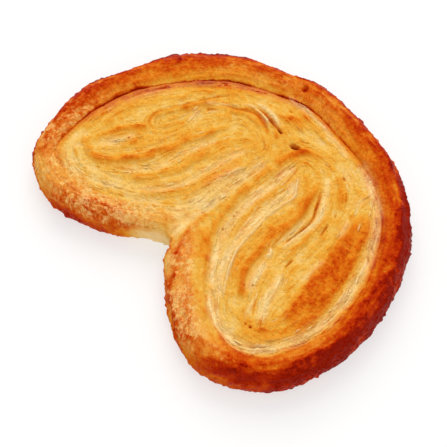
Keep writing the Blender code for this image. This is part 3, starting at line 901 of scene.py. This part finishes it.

        # The band's browning, which gives way to the paler coils, and then what each mark adds to it, with
        # painted shade in the splits and cracks and the band's painted shadow just behind it.
        marbling = 0.02 * (1 - ease(0.4, 0.8, share)) * (broad + fine + mottle + slow)
        banded = self.brown_band(share + 0.04 * slow + 0.04 * mottle, marbling)
        blend = ease(-0.5, 2.6, behind + 0.5 * slow) * (1 - crevice) + ease(0.1, 0.4, behind) * crevice
        tone = banded + (0.25 - banded) * coiled * blend
        tone += 0.034 * broad + 0.020 * fine + 0.014 * thin + 0.036 * mottle + 0.030 * grain + 0.03 * slow
        # Darker in the splits, painted shade, and in the crack and the faint one after it, partly browning and
        # partly painted shade.
        tone += 0.13 * split - 0.04 * chip + self.bake + skin_tone + 0.34 * crack + 0.20 * faint_crack
        # Darker in a strip just behind the band: the band's painted shadow on the coils.
        tone += 0.48 * crevice * np.exp(-((behind / 2.0) ** 2)) * coiled
        tan = 0.12 * crevice * np.exp(-(((behind - 1.2) / 1.1) ** 4)) * coiled
        pale = np.maximum(self.cream * (1 + 0.24 * fine), tan) + skin_pale
        # Splits are less pale and the crack is not pale at all, as part of the same painted shade.
        pale += (0.10 + 0.30 * layered) * chip * (1 - self.browned) - 0.25 * split
        self.bake, self.cream = tone, np.clip(pale - 0.9 * crack, 0.0, 1.0)


# -------------------- Finishes --------------------


@dataclass
class Sock:
    """A shader socket whose arithmetic adds Math nodes."""

    tree: bpy.types.NodeTree
    socket: bpy.types.NodeSocket

    def _math(self, operation: str, other: "Sock | float") -> "Sock":
        """Adds one Math node between this value and another."""
        return Workshop(self.tree).add("ShaderNodeMath", {"operation": operation}, {0: self, 1: other})

    def __add__(self, other: "Sock | float") -> "Sock":
        """Adds."""
        return self._math("ADD", other)

    __radd__ = __add__

    def __mul__(self, other: "Sock | float") -> "Sock":
        """Multiplies."""
        return self._math("MULTIPLY", other)

    def __sub__(self, other: "Sock | float") -> "Sock":
        """Takes the other away."""
        return self._math("SUBTRACT", other)

    def clamped(self) -> "Sock":
        """Keeps the value from 0 to 1."""
        return Workshop(self.tree).add("ShaderNodeClamp", {}, {"Value": self})


@dataclass
class Workshop:
    """Adds nodes to a material."""

    tree: bpy.types.NodeTree

    def add(
        self,
        kind: str,
        settings: dict[str, object],
        values: dict[str | int, object],
        output: str | int = 0,
    ) -> Sock:
        """Adds a node.

        Args:
            kind: The node's type.
            settings: Its own settings, set first; a ramp's stops are given under "stops".
            values: What its sockets hold or are linked to.
            output: Which of its outputs is wanted.

        Returns:
            That output.
        """
        made = self.tree.nodes.new(kind)
        for name, value in settings.items():
            if name == "stops":
                self.fill_ramp(made.color_ramp, value)
            else:
                setattr(made, name, value)
        self.fill(made, values)
        return Sock(self.tree, made.outputs[output])

    def fill(self, node: bpy.types.Node, values: dict[str | int, object]) -> None:
        """Links a node's sockets, or sets what they hold."""
        for name, value in values.items():
            if isinstance(value, Sock):
                self.tree.links.new(value.socket, node.inputs[name])
            else:
                node.inputs[name].default_value = value

    @staticmethod
    def fill_ramp(ramp: bpy.types.ColorRamp, stops: Sequence[tuple[float, tuple[float, ...]]]) -> None:
        """Sets a ramp's stops, as (place, colour) pairs."""
        while len(ramp.elements) < len(stops):
            ramp.elements.new(1.0)
        for element, (place, colour) in zip(ramp.elements, stops):
            element.position = place
            element.color = colour

    def noise(self, place: Sock, size_mm: float, detail: float = 2.0, roughness: float = 0.5) -> Sock:
        """Adds noise with lumps of about that size, from 0 to 1."""
        values = {"Vector": place, "Scale": 1 / (size_mm * MM), "Detail": detail, "Roughness": roughness}
        return self.add("ShaderNodeTexNoise", {"noise_dimensions": "3D"}, values)

    def mix(self, blend: str, share: Sock, first: object, second: object) -> Sock:
        """Mixes two colours."""
        settings = {"data_type": "RGBA", "blend_type": blend}
        return self.add("ShaderNodeMix", settings, {"Factor": share, 6: first, 7: second}, 2)


def new_material(name: str) -> tuple[bpy.types.Material, bpy.types.Node, Workshop]:
    """Makes a material.

    Returns:
        The material, its shader and a workshop for its nodes.
    """
    material = bpy.data.materials.new(name)
    material.use_nodes = True
    tree = material.node_tree
    return material, tree.nodes["Principled BSDF"], Workshop(tree)


def linear(red: float, green: float, blue: float) -> tuple[float, float, float, float]:
    """A colour as the eye reads it, from 0 to 255, in the linear values that shaders take."""

    def one(value: float) -> float:
        """One channel."""
        share = value / 255
        return share / 12.92 if share <= 0.04045 else ((share + 0.055) / 1.055) ** 2.4

    return one(red), one(green), one(blue), 1.0


@dataclass(frozen=True)
class PastryFinish:
    """Baked puff pastry, whose colour runs from pale dough to dark caramel.

    A piece says at each of its points how far it is baked ("bake", which also holds painted shade in cracks,
    splits, holes and just behind the band), how much of a pale split edge it is ("cream"), how thick the sugar
    glaze is ("glaze") and how frothy the skin ("froth"), each from 0 to 1.

    Attributes:
        name: The material's name.
        stops: Colours by how far it is baked.
        cream: The colour of the split edges of unbaked layers.
        froth_painted_lift: What the colour of frothy crust is multiplied by, a redder lift that is painted
            light: it stands in for the glints on the froth and the light its slopes miss.
        rough_dry: Roughness of dry layers.
        rough_glazed: Roughness of sugar glaze.
        bump_mm: Height of the finest grain.
        steady: What the shader's other sockets hold.
    """

    name: str = "baked_pastry"
    stops: tuple[tuple[float, tuple[float, float, float]], ...] = (
        (0.00, (238, 201, 131)),
        (0.18, (235, 186, 90)),
        (0.30, (231, 168, 61)),
        (0.42, (229, 152, 45)),
        (0.52, (225, 134, 31)),
        (0.64, (215, 108, 16)),
        (0.74, (203, 80, 8)),
        (0.84, (188, 55, 3)),
        (0.92, (172, 35, 1)),
        (1.00, (138, 17, 0)),
    )
    cream: tuple[float, float, float] = (250, 218, 153)
    froth_painted_lift: tuple[float, float, float, float] = (1.07, 1.0, 1.0, 1.0)
    rough_dry: float = 0.66
    rough_glazed: float = 0.30
    bump_mm: float = 0.23
    steady: tuple[tuple[str, object], ...] = (
        ("Coat Roughness", 0.25),
        ("Specular IOR Level", 0.02),
        ("Specular Tint", (1.0, 0.66, 0.30, 1.0)),
        ("Subsurface Weight", 0.06),
        ("Subsurface Radius", (1.0, 0.45, 0.15)),
        ("Subsurface Scale", 1.2 * MM),
    )

    def build(self) -> bpy.types.Material:
        """Makes the material."""
        material, shader, shop = new_material(self.name)
        place = shop.add("ShaderNodeTexCoord", {}, {}, "Object")
        bake, cream, glaze, froth = (
            shop.add("ShaderNodeAttribute", {"attribute_name": name}, {}, "Fac")
            for name in ("bake", "cream", "glaze", "froth")
        )
        speckle = shop.noise(place, 0.9, detail=3.0, roughness=0.6)
        grain = shop.noise(place, 0.35)
        crumbs = shop.add("ShaderNodeTexVoronoi", {}, {"Vector": place, "Scale": 1 / (0.55 * MM)}, "Distance")
        tone = bake + (speckle - 0.5) * 0.12 + (grain - 0.5) * 0.07 + (crumbs - 0.45) * 0.06
        stops = [(at, linear(*colour)) for at, colour in self.stops]
        brown = shop.add("ShaderNodeValToRGB", {"stops": stops}, {"Fac": tone})
        pale = (cream + (speckle - 0.5) * cream * 0.5).clamped()
        mixed = shop.mix("MIX", pale, brown, linear(*self.cream))
        rough = self.rough_dry + (speckle - 0.5) * 0.25 - glaze * (self.rough_dry - self.rough_glazed)
        relief = (grain + speckle - crumbs) * (1.0 + froth * 0.5)
        bump = {"Strength": 1.0, "Distance": self.bump_mm * MM, "Height": relief}
        shop.fill(shader, {
            # Frothy crust gets a redder, lighter colour: painted light for its glints and its less lit slopes.
            "Base Color": shop.mix("MULTIPLY", froth, mixed, self.froth_painted_lift),
            "Roughness": rough.clamped(),
            "Coat Weight": (glaze * 0.01).clamped(),
            "Normal": shop.add("ShaderNodeBump", {}, bump),
            **dict(self.steady),
        })
        return material


# -------------------- Pieces --------------------


def start_grid(name: str, columns: int, rows: int) -> tuple[bpy.types.Object, Array, Array]:
    """Adds a flat grid of that many points each way, as the start of a piece.

    Returns:
        The piece, and the column and the row of each of its points.
    """
    bpy.ops.object.select_all(action="DESELECT")
    bpy.ops.mesh.primitive_grid_add(x_subdivisions=columns - 1, y_subdivisions=rows - 1, size=2.0)
    piece = bpy.context.active_object
    piece.name = piece.data.name = name
    column, row = (read_points(piece)[:, :2].T + 1) / 2 * [[columns - 1], [rows - 1]]
    return piece, np.rint(column).astype(int), np.rint(row).astype(int)


def read_points(piece: bpy.types.Object) -> Array:
    """The piece's points, one row each."""
    points = np.empty(len(piece.data.vertices) * 3)
    piece.data.vertices.foreach_get("co", points)
    return points.reshape(-1, 3)


def place_points(piece: bpy.types.Object, points_mm: Array) -> None:
    """Moves the piece's points, given in millimetres."""
    piece.data.vertices.foreach_set("co", (points_mm * MM).astype(np.float32).ravel())
    piece.data.update()


def shade(piece: bpy.types.Object, **shades: Array) -> None:
    """Stores shades for each point, from 0 to 1, which the finish looks up by name."""
    for name, values in shades.items():
        attribute = piece.data.attributes.new(name, "FLOAT", "POINT")
        attribute.data.foreach_set("value", np.clip(values, 0, 1).astype(np.float32))


def edit(piece: bpy.types.Object) -> None:
    """Opens a piece for editing."""
    bpy.ops.object.select_all(action="DESELECT")
    piece.select_set(True)
    bpy.context.view_layer.objects.active = piece
    bpy.ops.object.mode_set(mode="EDIT")


def close_seams(piece: bpy.types.Object) -> None:
    """Joins the points that lie on each other, turns the faces outwards and smooths the shading."""
    edit(piece)
    bpy.ops.mesh.select_all(action="SELECT")
    bpy.ops.mesh.remove_doubles(threshold=0.002 * MM)
    bpy.ops.mesh.normals_make_consistent(inside=False)
    bpy.ops.mesh.delete_loose(use_verts=True, use_edges=True, use_faces=False)
    bpy.ops.object.mode_set(mode="OBJECT")
    bpy.ops.object.shade_smooth()


def keep_inside(piece: bpy.types.Object, outside: Array, floor_mm: float) -> None:
    """Cuts a grid down to a region and closes it below.

    Args:
        piece: The grid.
        outside: Which of its points go.
        floor_mm: Height of the flat face that closes it.
    """
    for parts in (piece.data.polygons, piece.data.edges):
        parts.foreach_set("select", np.zeros(len(parts), bool))
    piece.data.vertices.foreach_set("select", outside)
    edit(piece)
    bpy.ops.mesh.select_mode(type="VERT")
    bpy.ops.mesh.delete(type="VERT")
    bpy.ops.mesh.select_all(action="SELECT")
    bpy.ops.mesh.delete_loose(use_verts=True, use_edges=True, use_faces=False)
    bpy.ops.mesh.select_all(action="DESELECT")
    bpy.ops.mesh.select_mode(type="EDGE")
    bpy.ops.mesh.select_non_manifold(extend=False)
    bpy.ops.mesh.extrude_edges_move()
    bpy.ops.transform.resize(value=(1, 1, 0), center_override=(0, 0, floor_mm * MM))
    bpy.ops.mesh.edge_face_add()
    bpy.ops.mesh.select_all(action="SELECT")
    bpy.ops.mesh.normals_make_consistent(inside=False)
    bpy.ops.mesh.select_mode(type="VERT")
    bpy.ops.object.mode_set(mode="OBJECT")
    bpy.ops.object.shade_smooth()
    bpy.ops.object.shade_smooth_by_angle(angle=math.radians(75))


def slab(name: str, plan: Plan, wanted: Array, level: Array, far_mm: float) -> bpy.types.Object:
    """Builds a closed slab with one shaped face and one flat one.

    Args:
        name: Its name.
        plan: The grid of the shaped face.
        wanted: Which points of the grid it covers.
        level: Height of the shaped face.
        far_mm: Height of the flat one.

    Returns:
        The slab.
    """
    x, y = plan.places()
    rows = np.nonzero(wanted.any(axis=1))[0]
    columns = np.nonzero(wanted.any(axis=0))[0]
    window = (slice(rows[0], rows[-1] + 1), slice(columns[0], columns[-1] + 1))
    height, width = wanted[window].shape
    piece, column, row = start_grid(name, width, height)
    grid = np.stack([x[window], y[window], level[window]], axis=2)
    place_points(piece, grid[row, column])
    keep_inside(piece, ~wanted[window][row, column], far_mm)
    return piece


def finish_piece(piece: bpy.types.Object, material: bpy.types.Material) -> None:
    """Gives a piece its material and puts it on the pastry's body."""
    piece.data.materials.clear()
    piece.data.materials.append(material)
    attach(piece, "root")
    log.info("%s: %d points, %d faces", piece.name, len(piece.data.vertices), len(piece.data.polygons))


@dataclass
class BandLumps:
    """The lumps and bubbles of the crust band, for each of its points.

    Attributes:
        x: Where the points lie.
        y: Where the points lie.
        tall: How high they lie on an even wall.
        ragged: Lumps that make the edge ragged.
        lumpy: Smaller ones.
        slow: The largest.
        laminae: Thin ones that run along the band, like the ends of layers.
        grain: The smallest.
        coarse: Large bubbles.
        beads: Small bubbles.
    """

    x: Array
    y: Array
    tall: Array
    ragged: Array = field(init=False)
    lumpy: Array = field(init=False)
    slow: Array = field(init=False)
    laminae: Array = field(init=False)
    grain: Array = field(init=False)
    coarse: tuple[Array, Array, Array] = field(init=False)
    beads: tuple[Array, Array, Array] = field(init=False)

    def __post_init__(self) -> None:
        """Grows them."""
        shape = self.tall.shape
        self.ragged, self.lumpy = cloud(shape, (14, 12), 41), cloud(shape, (5, 5), 42)
        self.laminae, self.grain = cloud(shape, (1.0, 16), 43), cloud(shape, (1.6, 1.6), 44)
        self.slow = cloud(shape, (30, 26), 45)
        self.coarse = self.blow(0.3, 0.8, 2.4, 61)
        self.beads = self.blow(0.2, 0.6, 1.3, 62)

    def blow(self, stir: float, squash: float, size: float, seed: int) -> tuple[Array, Array, Array]:
        """Fills the crust with bubbles.

        Args:
            stir: How uneven they are.
            squash: What heights are multiplied by, so that less makes them taller.
            size: About how wide one is.
            seed: Picks the pattern.

        Returns:
            The same as bubbles() does.
        """
        x, y = self.x + stir * self.lumpy, self.y + stir * self.ragged
        return bubbles(np.stack([x, y, squash * self.tall]), size, seed)

    def push(self) -> Array:
        """How far the wall stands out."""
        lumps = 0.20 * self.slow + 0.16 * self.ragged + 0.10 * self.lumpy + 0.10 * self.laminae
        large = 0.55 * self.coarse[0] * self.coarse[2]
        small = 0.60 * self.beads[0] * ease(0.45, 0.9, self.beads[2])
        return lumps + 0.06 * self.grain + large + small - 0.09

    def tone(self) -> Array:
        """How much browner the wall is."""
        return 0.05 * self.slow + 0.07 * self.ragged + 0.03 * self.lumpy + 0.03 * self.grain

    def rag(self) -> Array:
        """How much wider or narrower the dark rim is, as a share of the band's width."""
        return 0.03 * self.lumpy + 0.03 * self.ragged + 0.05 * (self.beads[2] - 0.5)


@dataclass
class CrustBand:
    """The raised, browned band round both lobes, from the underside over its crown to the layers behind it.

    Its points lie in rows that run round the pastry: up the side wall, across the top and down a hidden inner
    side.

    Attributes:
        top: The surface that it meets.
        around: Points round the band.
        wall_rows: Rows up the side wall.
        top_rows: Rows across the top.
        tuck_rows: Rows down the inner side.
        tuck_height: Height of the inner side's lowest row.
        foot: Height of the row that closes it below.
        wall: The side wall from the underside to the shoulder, as how far in from the edge and how high.
        stations: The stations' numbers for each point round.
        outward: Which way is outwards there.
        width: The band's width there.
        share: How far across the band each point lies, from 0 at the edge to 1, and more on the inner side.
        tuck: How far down the inner side it lies, 0 to 1.
        tall: Its height, were the wall the same all round.
        lift: 0 on the underside, and 1 from a little way up the wall.
        trust: How far it follows the top's heights and shades rather than the wall's.
    """

    top: BakedTop
    around: int = 1080
    wall_rows: int = 36
    top_rows: int = 40
    tuck_rows: int = 8
    tuck_height: float = 1.2
    foot: float = 0.6
    wall: Sequence[tuple[float, float]] = (
        (2.6, 0.05), (1.1, 0.5), (0.3, 2.0), (0, 4.6), (0.05, 7.2), (0.7, 10.4),
    )  # fmt: skip
    stations: Array = field(init=False)
    outward: Array = field(init=False)
    width: Array = field(init=False)
    share: Array = field(init=False)
    tuck: Array = field(init=False)
    tall: Array = field(init=False)
    lift: Array = field(init=False)
    trust: Array = field(init=False)

    def __post_init__(self) -> None:
        """Lays the rows out."""
        table = self.top.outline.table
        place, samples = np.linspace(0, len(table) - 1, self.around, endpoint=False), np.arange(len(table))
        self.stations = np.stack([np.interp(place, samples, numbers) for numbers in table.T], axis=1)
        edge, inner = self.stations[:, :2], self.stations[:, 2:4]
        tangent = np.roll(edge, -2, axis=0) - np.roll(edge, 2, axis=0)
        self.outward = np.stack([-tangent[:, 1], tangent[:, 0]]) / np.linalg.norm(tangent, axis=1)
        self.width = np.linalg.norm(edge - inner, axis=1)

        curve = respaced(catmull(np.array(self.wall), closed=False), 0.02)
        wall = curve[np.linspace(0, len(curve) - 1, self.wall_rows).astype(int)]
        steps = np.arange(1 - self.wall_rows, self.top_rows + self.tuck_rows + 1)[:, None]
        self.tuck = np.clip((steps - self.top_rows) / self.tuck_rows, 0, 1)
        start = wall[-1, 0] / self.width
        self.share = start + (1 - start) * np.clip(steps / self.top_rows, 0, 1)
        self.share += np.minimum(self.tuck * 3, 1.0) * LAP / self.width
        self.share[: self.wall_rows] = wall[:, :1] / self.width
        self.tall = np.full(self.share.shape, 14.0)
        self.tall[: self.wall_rows] = wall[:, 1:]
        self.lift = ease(0.0, 6.0, steps + self.wall_rows - 1.0)
        self.trust = ease(0.05, 0.18, self.share)

    def column(self, column: Column) -> Array:
        """One of the stations' numbers, for each point round."""
        return self.stations[:, column.value]

    def build(self) -> bpy.types.Object:
        """Builds the band."""
        points, shades = self.sheet()
        piece, column, row = start_grid("crust_band", self.around + 1, len(points))
        column %= self.around
        place_points(piece, points[row, column])
        shade(piece, **{name: values[row, column] for name, values in shades.items()})
        close_seams(piece)
        return piece

    def places(self, push: Array) -> Array:
        """The x and the y of every point, pushed outwards by so much."""
        edge, inner = self.stations[:, :2].T[:, None], self.stations[:, 2:4].T[:, None]
        return edge + (inner - edge) * self.share + self.outward[:, None] * push

    def raised(self, x: Array, y: Array, roughness: Array) -> Array:
        """The height of every point, which follows the top except near the edge.

        Args:
            x: Where the points lie.
            y: Where the points lie.
            roughness: What is added near the edge.
        """
        crown = self.column(Column.CROWN)
        inset, wall_high = self.wall[-1]
        start = inset / self.width
        arch = self.top.outer_slope(crown, np.maximum(self.share, start)) + roughness
        height = arch * (1 - self.trust) + self.top.plan.read(self.top.height, x, y) * self.trust
        on_wall = slice(0, self.wall_rows)
        height[on_wall] = self.tall[on_wall] / wall_high * self.top.outer_slope(crown, start)
        height = height - self.tuck * 1.1 * (height - self.tuck_height)
        return np.maximum(height, np.where(self.tuck > 0, self.tuck_height, 0.0))

    def frothed(self, height: Array, lumps: BandLumps) -> Array:
        """How frothy the crust is at every point."""
        inward = ease(0.45, 0.95, self.share) * ease(10.0, 13.0, self.stations[:, 0])
        froth = self.column(Column.BLISTER) * ease(5.0, 11.0, height) * (1 - self.tuck) * (1 - 0.8 * inward)
        fade = ease(7.5, 12.0, self.share * self.width + 1.2 * lumps.slow + 0.5 * lumps.lumpy)
        return np.clip(1.15 * froth * (1 - fade), 0, 1)

    def browned(self, height: Array, lumps: BandLumps, inner_tone: Array, skin_tone: Array) -> Array:
        """How brown every point is.

        Args:
            height: Height of each point.
            lumps: The band's lumps.
            inner_tone: How brown it is away from the edge.
            skin_tone: How much browner the skin makes it, with painted shade between its bubbles and painted
                highlights on small ones.
        """
        side, outer = self.column(Column.WALL_BAKE), self.column(Column.OUTER_BAKE)
        bake = side + (outer - side) * ease(5.0, 10.2, height) + lumps.tone()
        bake = bake + 0.10 * (1 - ease(0.5, 3.0, height)) + 0.06 * (lumps.coarse[2] - 0.5)
        bake = bake * (1 - self.trust) + inner_tone * self.trust + skin_tone
        fringe = 1 - ease(0.11, 0.18, self.share + lumps.rag())
        fringe = fringe * ease(0.2, 0.7, -self.outward[0]) * ease(6.0, 9.0, height)
        bake = bake + 0.30 * fringe * ease(-0.9, 0.6, lumps.ragged)
        rim = ease(0.55, 0.75, outer) * (1 - ease(0.17, 0.25, self.share + 1.3 * lumps.rag()))
        rim = rim * ease(7.0, 9.0, height) * ease(-1.2, 0.6, lumps.ragged + 0.5 * lumps.slow)
        return bake + (0.98 - bake) * 0.9 * rim

    def sheet(self) -> tuple[Array, dict[str, Array]]:
        """Works out every point of the band and its shades.

        Returns:
            The points in millimetres, row by row, and the shades by name.
        """
        top, plan = self.top, self.top.plan
        lumps = BandLumps(*self.places(0 * self.share), self.tall)
        push = lumps.push() * (1 - ease(0.08, 0.26, self.share)) * self.lift
        x, y = self.places(push)
        height = self.raised(x, y, 0.06 * lumps.lumpy + 0.05 * lumps.grain)
        froth = self.frothed(height, lumps)
        brown = (1 - self.tuck) * (1 - 0.7 * froth)
        skin, skin_tone, skin_pale = Crust().grow(np.stack([x, y, height]), froth, brown)
        skin = skin * self.lift
        steep = 1 - ease(0.04, 0.30, self.share)
        x, y = np.stack([x, y]) + self.outward[:, None] * skin * steep
        height[self.wall_rows :] += (skin * (1 - 0.7 * steep))[self.wall_rows :]
        bake = self.browned(height, lumps, plan.read(top.bake, x, y), skin_tone)
        cream = plan.read(top.cream, x, y) * self.trust + skin_pale * (1 - ease(0.5, 0.75, bake))
        # Paler low on the notch walls, whose stations are barely baked: partly the pale dough there, partly
        # painted light that lifts the shade of the hollow notch.
        pale_and_lit_notch_wall = np.clip(0.3 - self.column(Column.WALL_BAKE), 0, 1)
        cream = cream + 2.4 * pale_and_lit_notch_wall * (1 - ease(5.0, 10.2, height))

        points = np.stack([x, y, height], axis=2)
        foot = points[:1] * 0.97 + points[-1:] * 0.03
        foot[:, :, 2] = self.foot
        points = np.concatenate([points, foot, points[:1]])
        points[:, :, 2] = np.maximum(points[:, :, 2], self.wall[0][1])
        shades = {"bake": bake, "cream": cream, "glaze": ease(0.62, 0.9, bake), "froth": froth}
        return points, {name: np.concatenate([rows, rows[:1], rows[:1]]) for name, rows in shades.items()}


class Lobe(Enum):
    """The two coils that the strip is rolled into."""

    LEFT = "left_coil"
    RIGHT = "right_coil"


@dataclass
class Coil:
    """The layers of one lobe, inside the band and up to the join.

    Attributes:
        top: The surface that it shows.
        lobe: Which of the two it is.
        overlap: How far it reaches past the join, under the other one.
        base: Height of its flat lower face, inside the underside's slab.
    """

    top: BakedTop
    lobe: Lobe
    overlap: float = 0.8
    base: float = 2.0

    def build(self) -> bpy.types.Object:
        """Builds the coil as a closed slab with the baked surface on top."""
        top, plan = self.top, self.top.plan
        x, y = plan.places()
        beyond = x - self.seam(y) if self.lobe is Lobe.LEFT else self.seam(y) - x
        wanted = (top.within_inner > -LAP) & (beyond <= self.overlap)
        level = top.height - 1.5 * ease(0.0, LAP, -top.within_inner)
        level = level - 0.3 * ease(-self.overlap, self.overlap, beyond) * (1 - 0.6 * ease(22.0, 26.0, y))
        piece = slab(self.lobe.value, plan, wanted, level, self.base)
        bake, cream, froth = (plan.under(piece, values) for values in (top.bake, top.cream, top.frothy))
        shade(piece, bake=bake, cream=cream, glaze=ease(0.5, 0.85, bake) * 0.6, froth=froth)
        return piece

    @staticmethod
    def seam(y: Array) -> Array:
        """Where the two coils part, for each y."""
        run = np.array(SEAM)
        return np.interp(y, run[:, 1], run[:, 0])


@dataclass
class Underside:
    """The side that lay on the tray: the same layers, pressed flat and caramelised.

    Attributes:
        top: The surface above it, whose layers it repeats.
        cell: Spacing of its points.
        inset: How far in from the edge it starts.
        lowest: Height of its lowest parts.
        relief: How much higher the grooves between the layers lie.
        roof: Height of its hidden upper face.
    """

    top: BakedTop
    cell: float = 0.45
    inset: float = 2.2
    lowest: float = 0.12
    relief: float = 0.45
    roof: float = 2.4

    def build(self) -> bpy.types.Object:
        """Builds the slab."""
        top, plan = self.top, self.top.plan
        own = Plan(self.cell, plan.half_x, plan.half_y)
        x, y = own.places()
        groove = np.clip(0.45 - 0.3 * (plan.read(top.height, x, y) - ROLL_HEIGHT), 0, 1)
        level = self.lowest + self.relief * groove + 0.04 * np.maximum(own.lumps(1.6, 92), -1.5)
        piece = slab("underside", own, plan.read(top.within_edge, x, y) > self.inset, level, self.roof)
        sugar = own.under(piece, own.lumps(6.0, 93))
        bake = 0.56 + 0.10 * sugar + 0.3 * plan.under(piece, top.bake) - 0.16 * own.under(piece, groove)
        shade(piece, bake=bake, cream=0.35 * plan.under(piece, top.cream), glaze=ease(0.55, 0.8, bake))
        return piece


@dataclass
class Flakes:
    """Loose slivers of the thinnest layers, each lifting a little along one side.

    Attributes:
        top: The surface that they lie on.
        count: How many there are.
        along: Points along each.
        round: Points round each.
        thick: Half the thickness of one.
    """

    top: BakedTop
    count: int = 260
    along: int = 11
    round: int = 6
    thick: float = 0.06

    def build(self) -> bpy.types.Object:
        """Builds them all as one mesh of closed slivers."""
        piece, column, row = start_grid("flakes", self.count * self.along, self.round + 1)
        points, bake, cream = self.slivers()
        place_points(piece, points[row % self.round, column])
        shade(piece, bake=bake[column], cream=cream[column])
        close_seams(piece)
        return piece

    def slivers(self) -> tuple[Array, Array, Array]:
        """Works out where the slivers lie.

        Returns:
            Their points in millimetres, round and along, and the bake and the cream along them.
        """
        top, plan = self.top, self.top.plan
        random = np.random.default_rng(81)
        likely = (0.04 + np.clip(top.layered, 0, 1)) * (top.within_inner > 1.2) * (top.browned < 0.5)
        chosen = random.choice(likely.size, self.count, p=(likely / likely.sum()).ravel())
        place_x, place_y = plan.places()
        x, y = place_x.ravel()[chosen], place_y.ravel()[chosen]
        length = random.uniform(1.6, 4.6, self.count)
        half = random.uniform(0.16, 0.40, self.count)
        tilt = random.uniform(0.15, 0.5, self.count) * random.choice([-1.0, 1.0], self.count)
        pallor = random.uniform(0.0, 0.5, self.count)
        run_x, run_y, east, north = [], [], np.zeros(self.count), np.zeros(self.count)
        for _ in range(self.along):
            run_x.append(x)
            run_y.append(y)
            new_east, new_north = plan.read(top.layers.east, x, y), plan.read(top.layers.north, x, y)
            turn = np.where(new_east * east + new_north * north < 0, -1.0, 1.0)
            east, north = new_east * turn, new_north * turn
            x, y = x + east * length / self.along, y + north * length / self.along
        run_x, run_y = np.array(run_x).T, np.array(run_y).T
        heading = np.stack([np.gradient(run_x, axis=1), np.gradient(run_y, axis=1)])
        heading /= np.maximum(np.hypot(*heading), 1e-6)
        swell = np.sin(np.pi * np.linspace(0, 1, self.along)) ** 0.6
        swell[[0, -1]] = 0.0
        turns = 2 * np.pi * np.arange(self.round) / self.round
        across = half[None, :, None] * swell * np.cos(turns)[:, None, None]
        height = plan.read(top.height, run_x, run_y)
        rise = tilt[None, :, None] * across + self.thick * swell * np.sin(turns)[:, None, None]
        lifted = height + 0.7 * (np.abs(tilt) * half)[:, None] * swell + rise
        points = np.stack([run_x - heading[1] * across, run_y + heading[0] * across, lifted], axis=3)
        bake = np.clip(plan.read(top.bake, run_x, run_y) - 0.04, 0, 1)
        cream = np.clip(0.6 * plan.read(top.cream, run_x, run_y) + pallor[:, None] * swell, 0, 1)
        return points.reshape(self.round, -1, 3), bake.ravel(), cream.ravel()


# -------------------- Studio --------------------


@dataclass(frozen=True)
class Studio:
    """A white table, soft light and the camera.

    Attributes:
        azimuth_deg: How far the camera is turned from the front.
        elevation_deg: How far above the table it looks from.
        distance: How far it stands from what it looks at.
        view_width: Width that it takes in there.
        target: What it looks at.
    """

    azimuth_deg: float = 48.0
    elevation_deg: float = 62.0
    distance: float = 0.51
    view_width: float = 0.13775
    target: tuple[float, float, float] = (0.0019, -0.0069, 0.0)

    def build(self) -> None:
        """Builds the table, the lights and the camera."""
        self.table()
        self.light("key", (-0.70, 0.62, 1.05), size=1.1, power=11.6)
        self.light("fill", (0.9, -0.3, 0.9), size=1.0, power=2.5)
        self.sky()
        self.camera()
        bpy.context.scene.view_settings.view_transform = "Standard"

    def back(self) -> Array:
        """Unit vector from what the camera looks at to the camera."""
        turn, tilt = math.radians(self.azimuth_deg), math.radians(self.elevation_deg)
        flat = math.cos(tilt)
        return np.array([math.sin(turn) * flat, -math.cos(turn) * flat, math.sin(tilt)])

    def camera(self) -> None:
        """Adds the camera."""
        data = bpy.data.cameras.new("camera")
        data.sensor_width = 36.0
        data.lens = data.sensor_width * self.distance / self.view_width
        data.clip_end = 20.0
        camera = bpy.data.objects.new("camera", data)
        bpy.context.scene.collection.objects.link(camera)
        camera.location = np.array(self.target) + self.back() * self.distance
        camera.rotation_euler = (math.radians(90 - self.elevation_deg), 0.0, math.radians(self.azimuth_deg))
        bpy.context.scene.camera = camera

    def table(self) -> None:
        """Adds the white table."""
        bpy.ops.object.select_all(action="DESELECT")
        bpy.ops.mesh.primitive_plane_add(size=4.0, location=(0, 0, 0))
        table = bpy.context.active_object
        table.name = "table"
        material, shader, shop = new_material("table")
        shop.fill(shader, {
            "Base Color": (0.40, 0.395, 0.39, 1.0),
            "Emission Color": (1.0, 1.0, 0.995, 1.0),
            "Emission Strength": 0.56,
            "Roughness": 0.9,
            "Specular IOR Level": 0.1,
        })
        table.data.materials.append(material)

    @staticmethod
    def light(name: str, place: tuple[float, float, float], size: float, power: float) -> None:
        """Adds a square soft light that faces the pastry.

        Args:
            name: The light's name.
            place: Where it hangs.
            size: Its width.
            power: Its power in watts.
        """
        data = bpy.data.lights.new(name, "AREA")
        data.size = size
        data.energy = power
        light = bpy.data.objects.new(name, data)
        bpy.context.scene.collection.objects.link(light)
        light.location = place
        x, y, z = place
        light.rotation_euler = (math.atan2(math.hypot(x, y), z), 0.0, math.atan2(x, -y))

    @staticmethod
    def sky() -> None:
        """Adds even white light from all round."""
        world = bpy.data.worlds.new("sky")
        world.use_nodes = True
        shop = Workshop(world.node_tree)
        shop.fill(world.node_tree.nodes["Background"], {"Color": (1.0, 1.0, 1.0, 1.0), "Strength": 0.755})
        bpy.context.scene.world = world


def main() -> None:
    """Builds the palmier and the studio."""
    logging.basicConfig(level=logging.INFO, format="%(name)s %(message)s")
    low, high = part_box(NODE)
    outline = Outline(width=(high.x - low.x) / MM - 2 * SKIN)
    top = BakedTop(Plan(), outline)
    pastry = PastryFinish().build()
    band = CrustBand(top).build()
    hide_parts(NODE)
    coils = [Coil(top, lobe).build() for lobe in Lobe]
    for piece in (band, *coils, Underside(top).build(), Flakes(top).build()):
        finish_piece(piece, pastry)
    Studio().build()


if __name__ == "__main__":
    main()
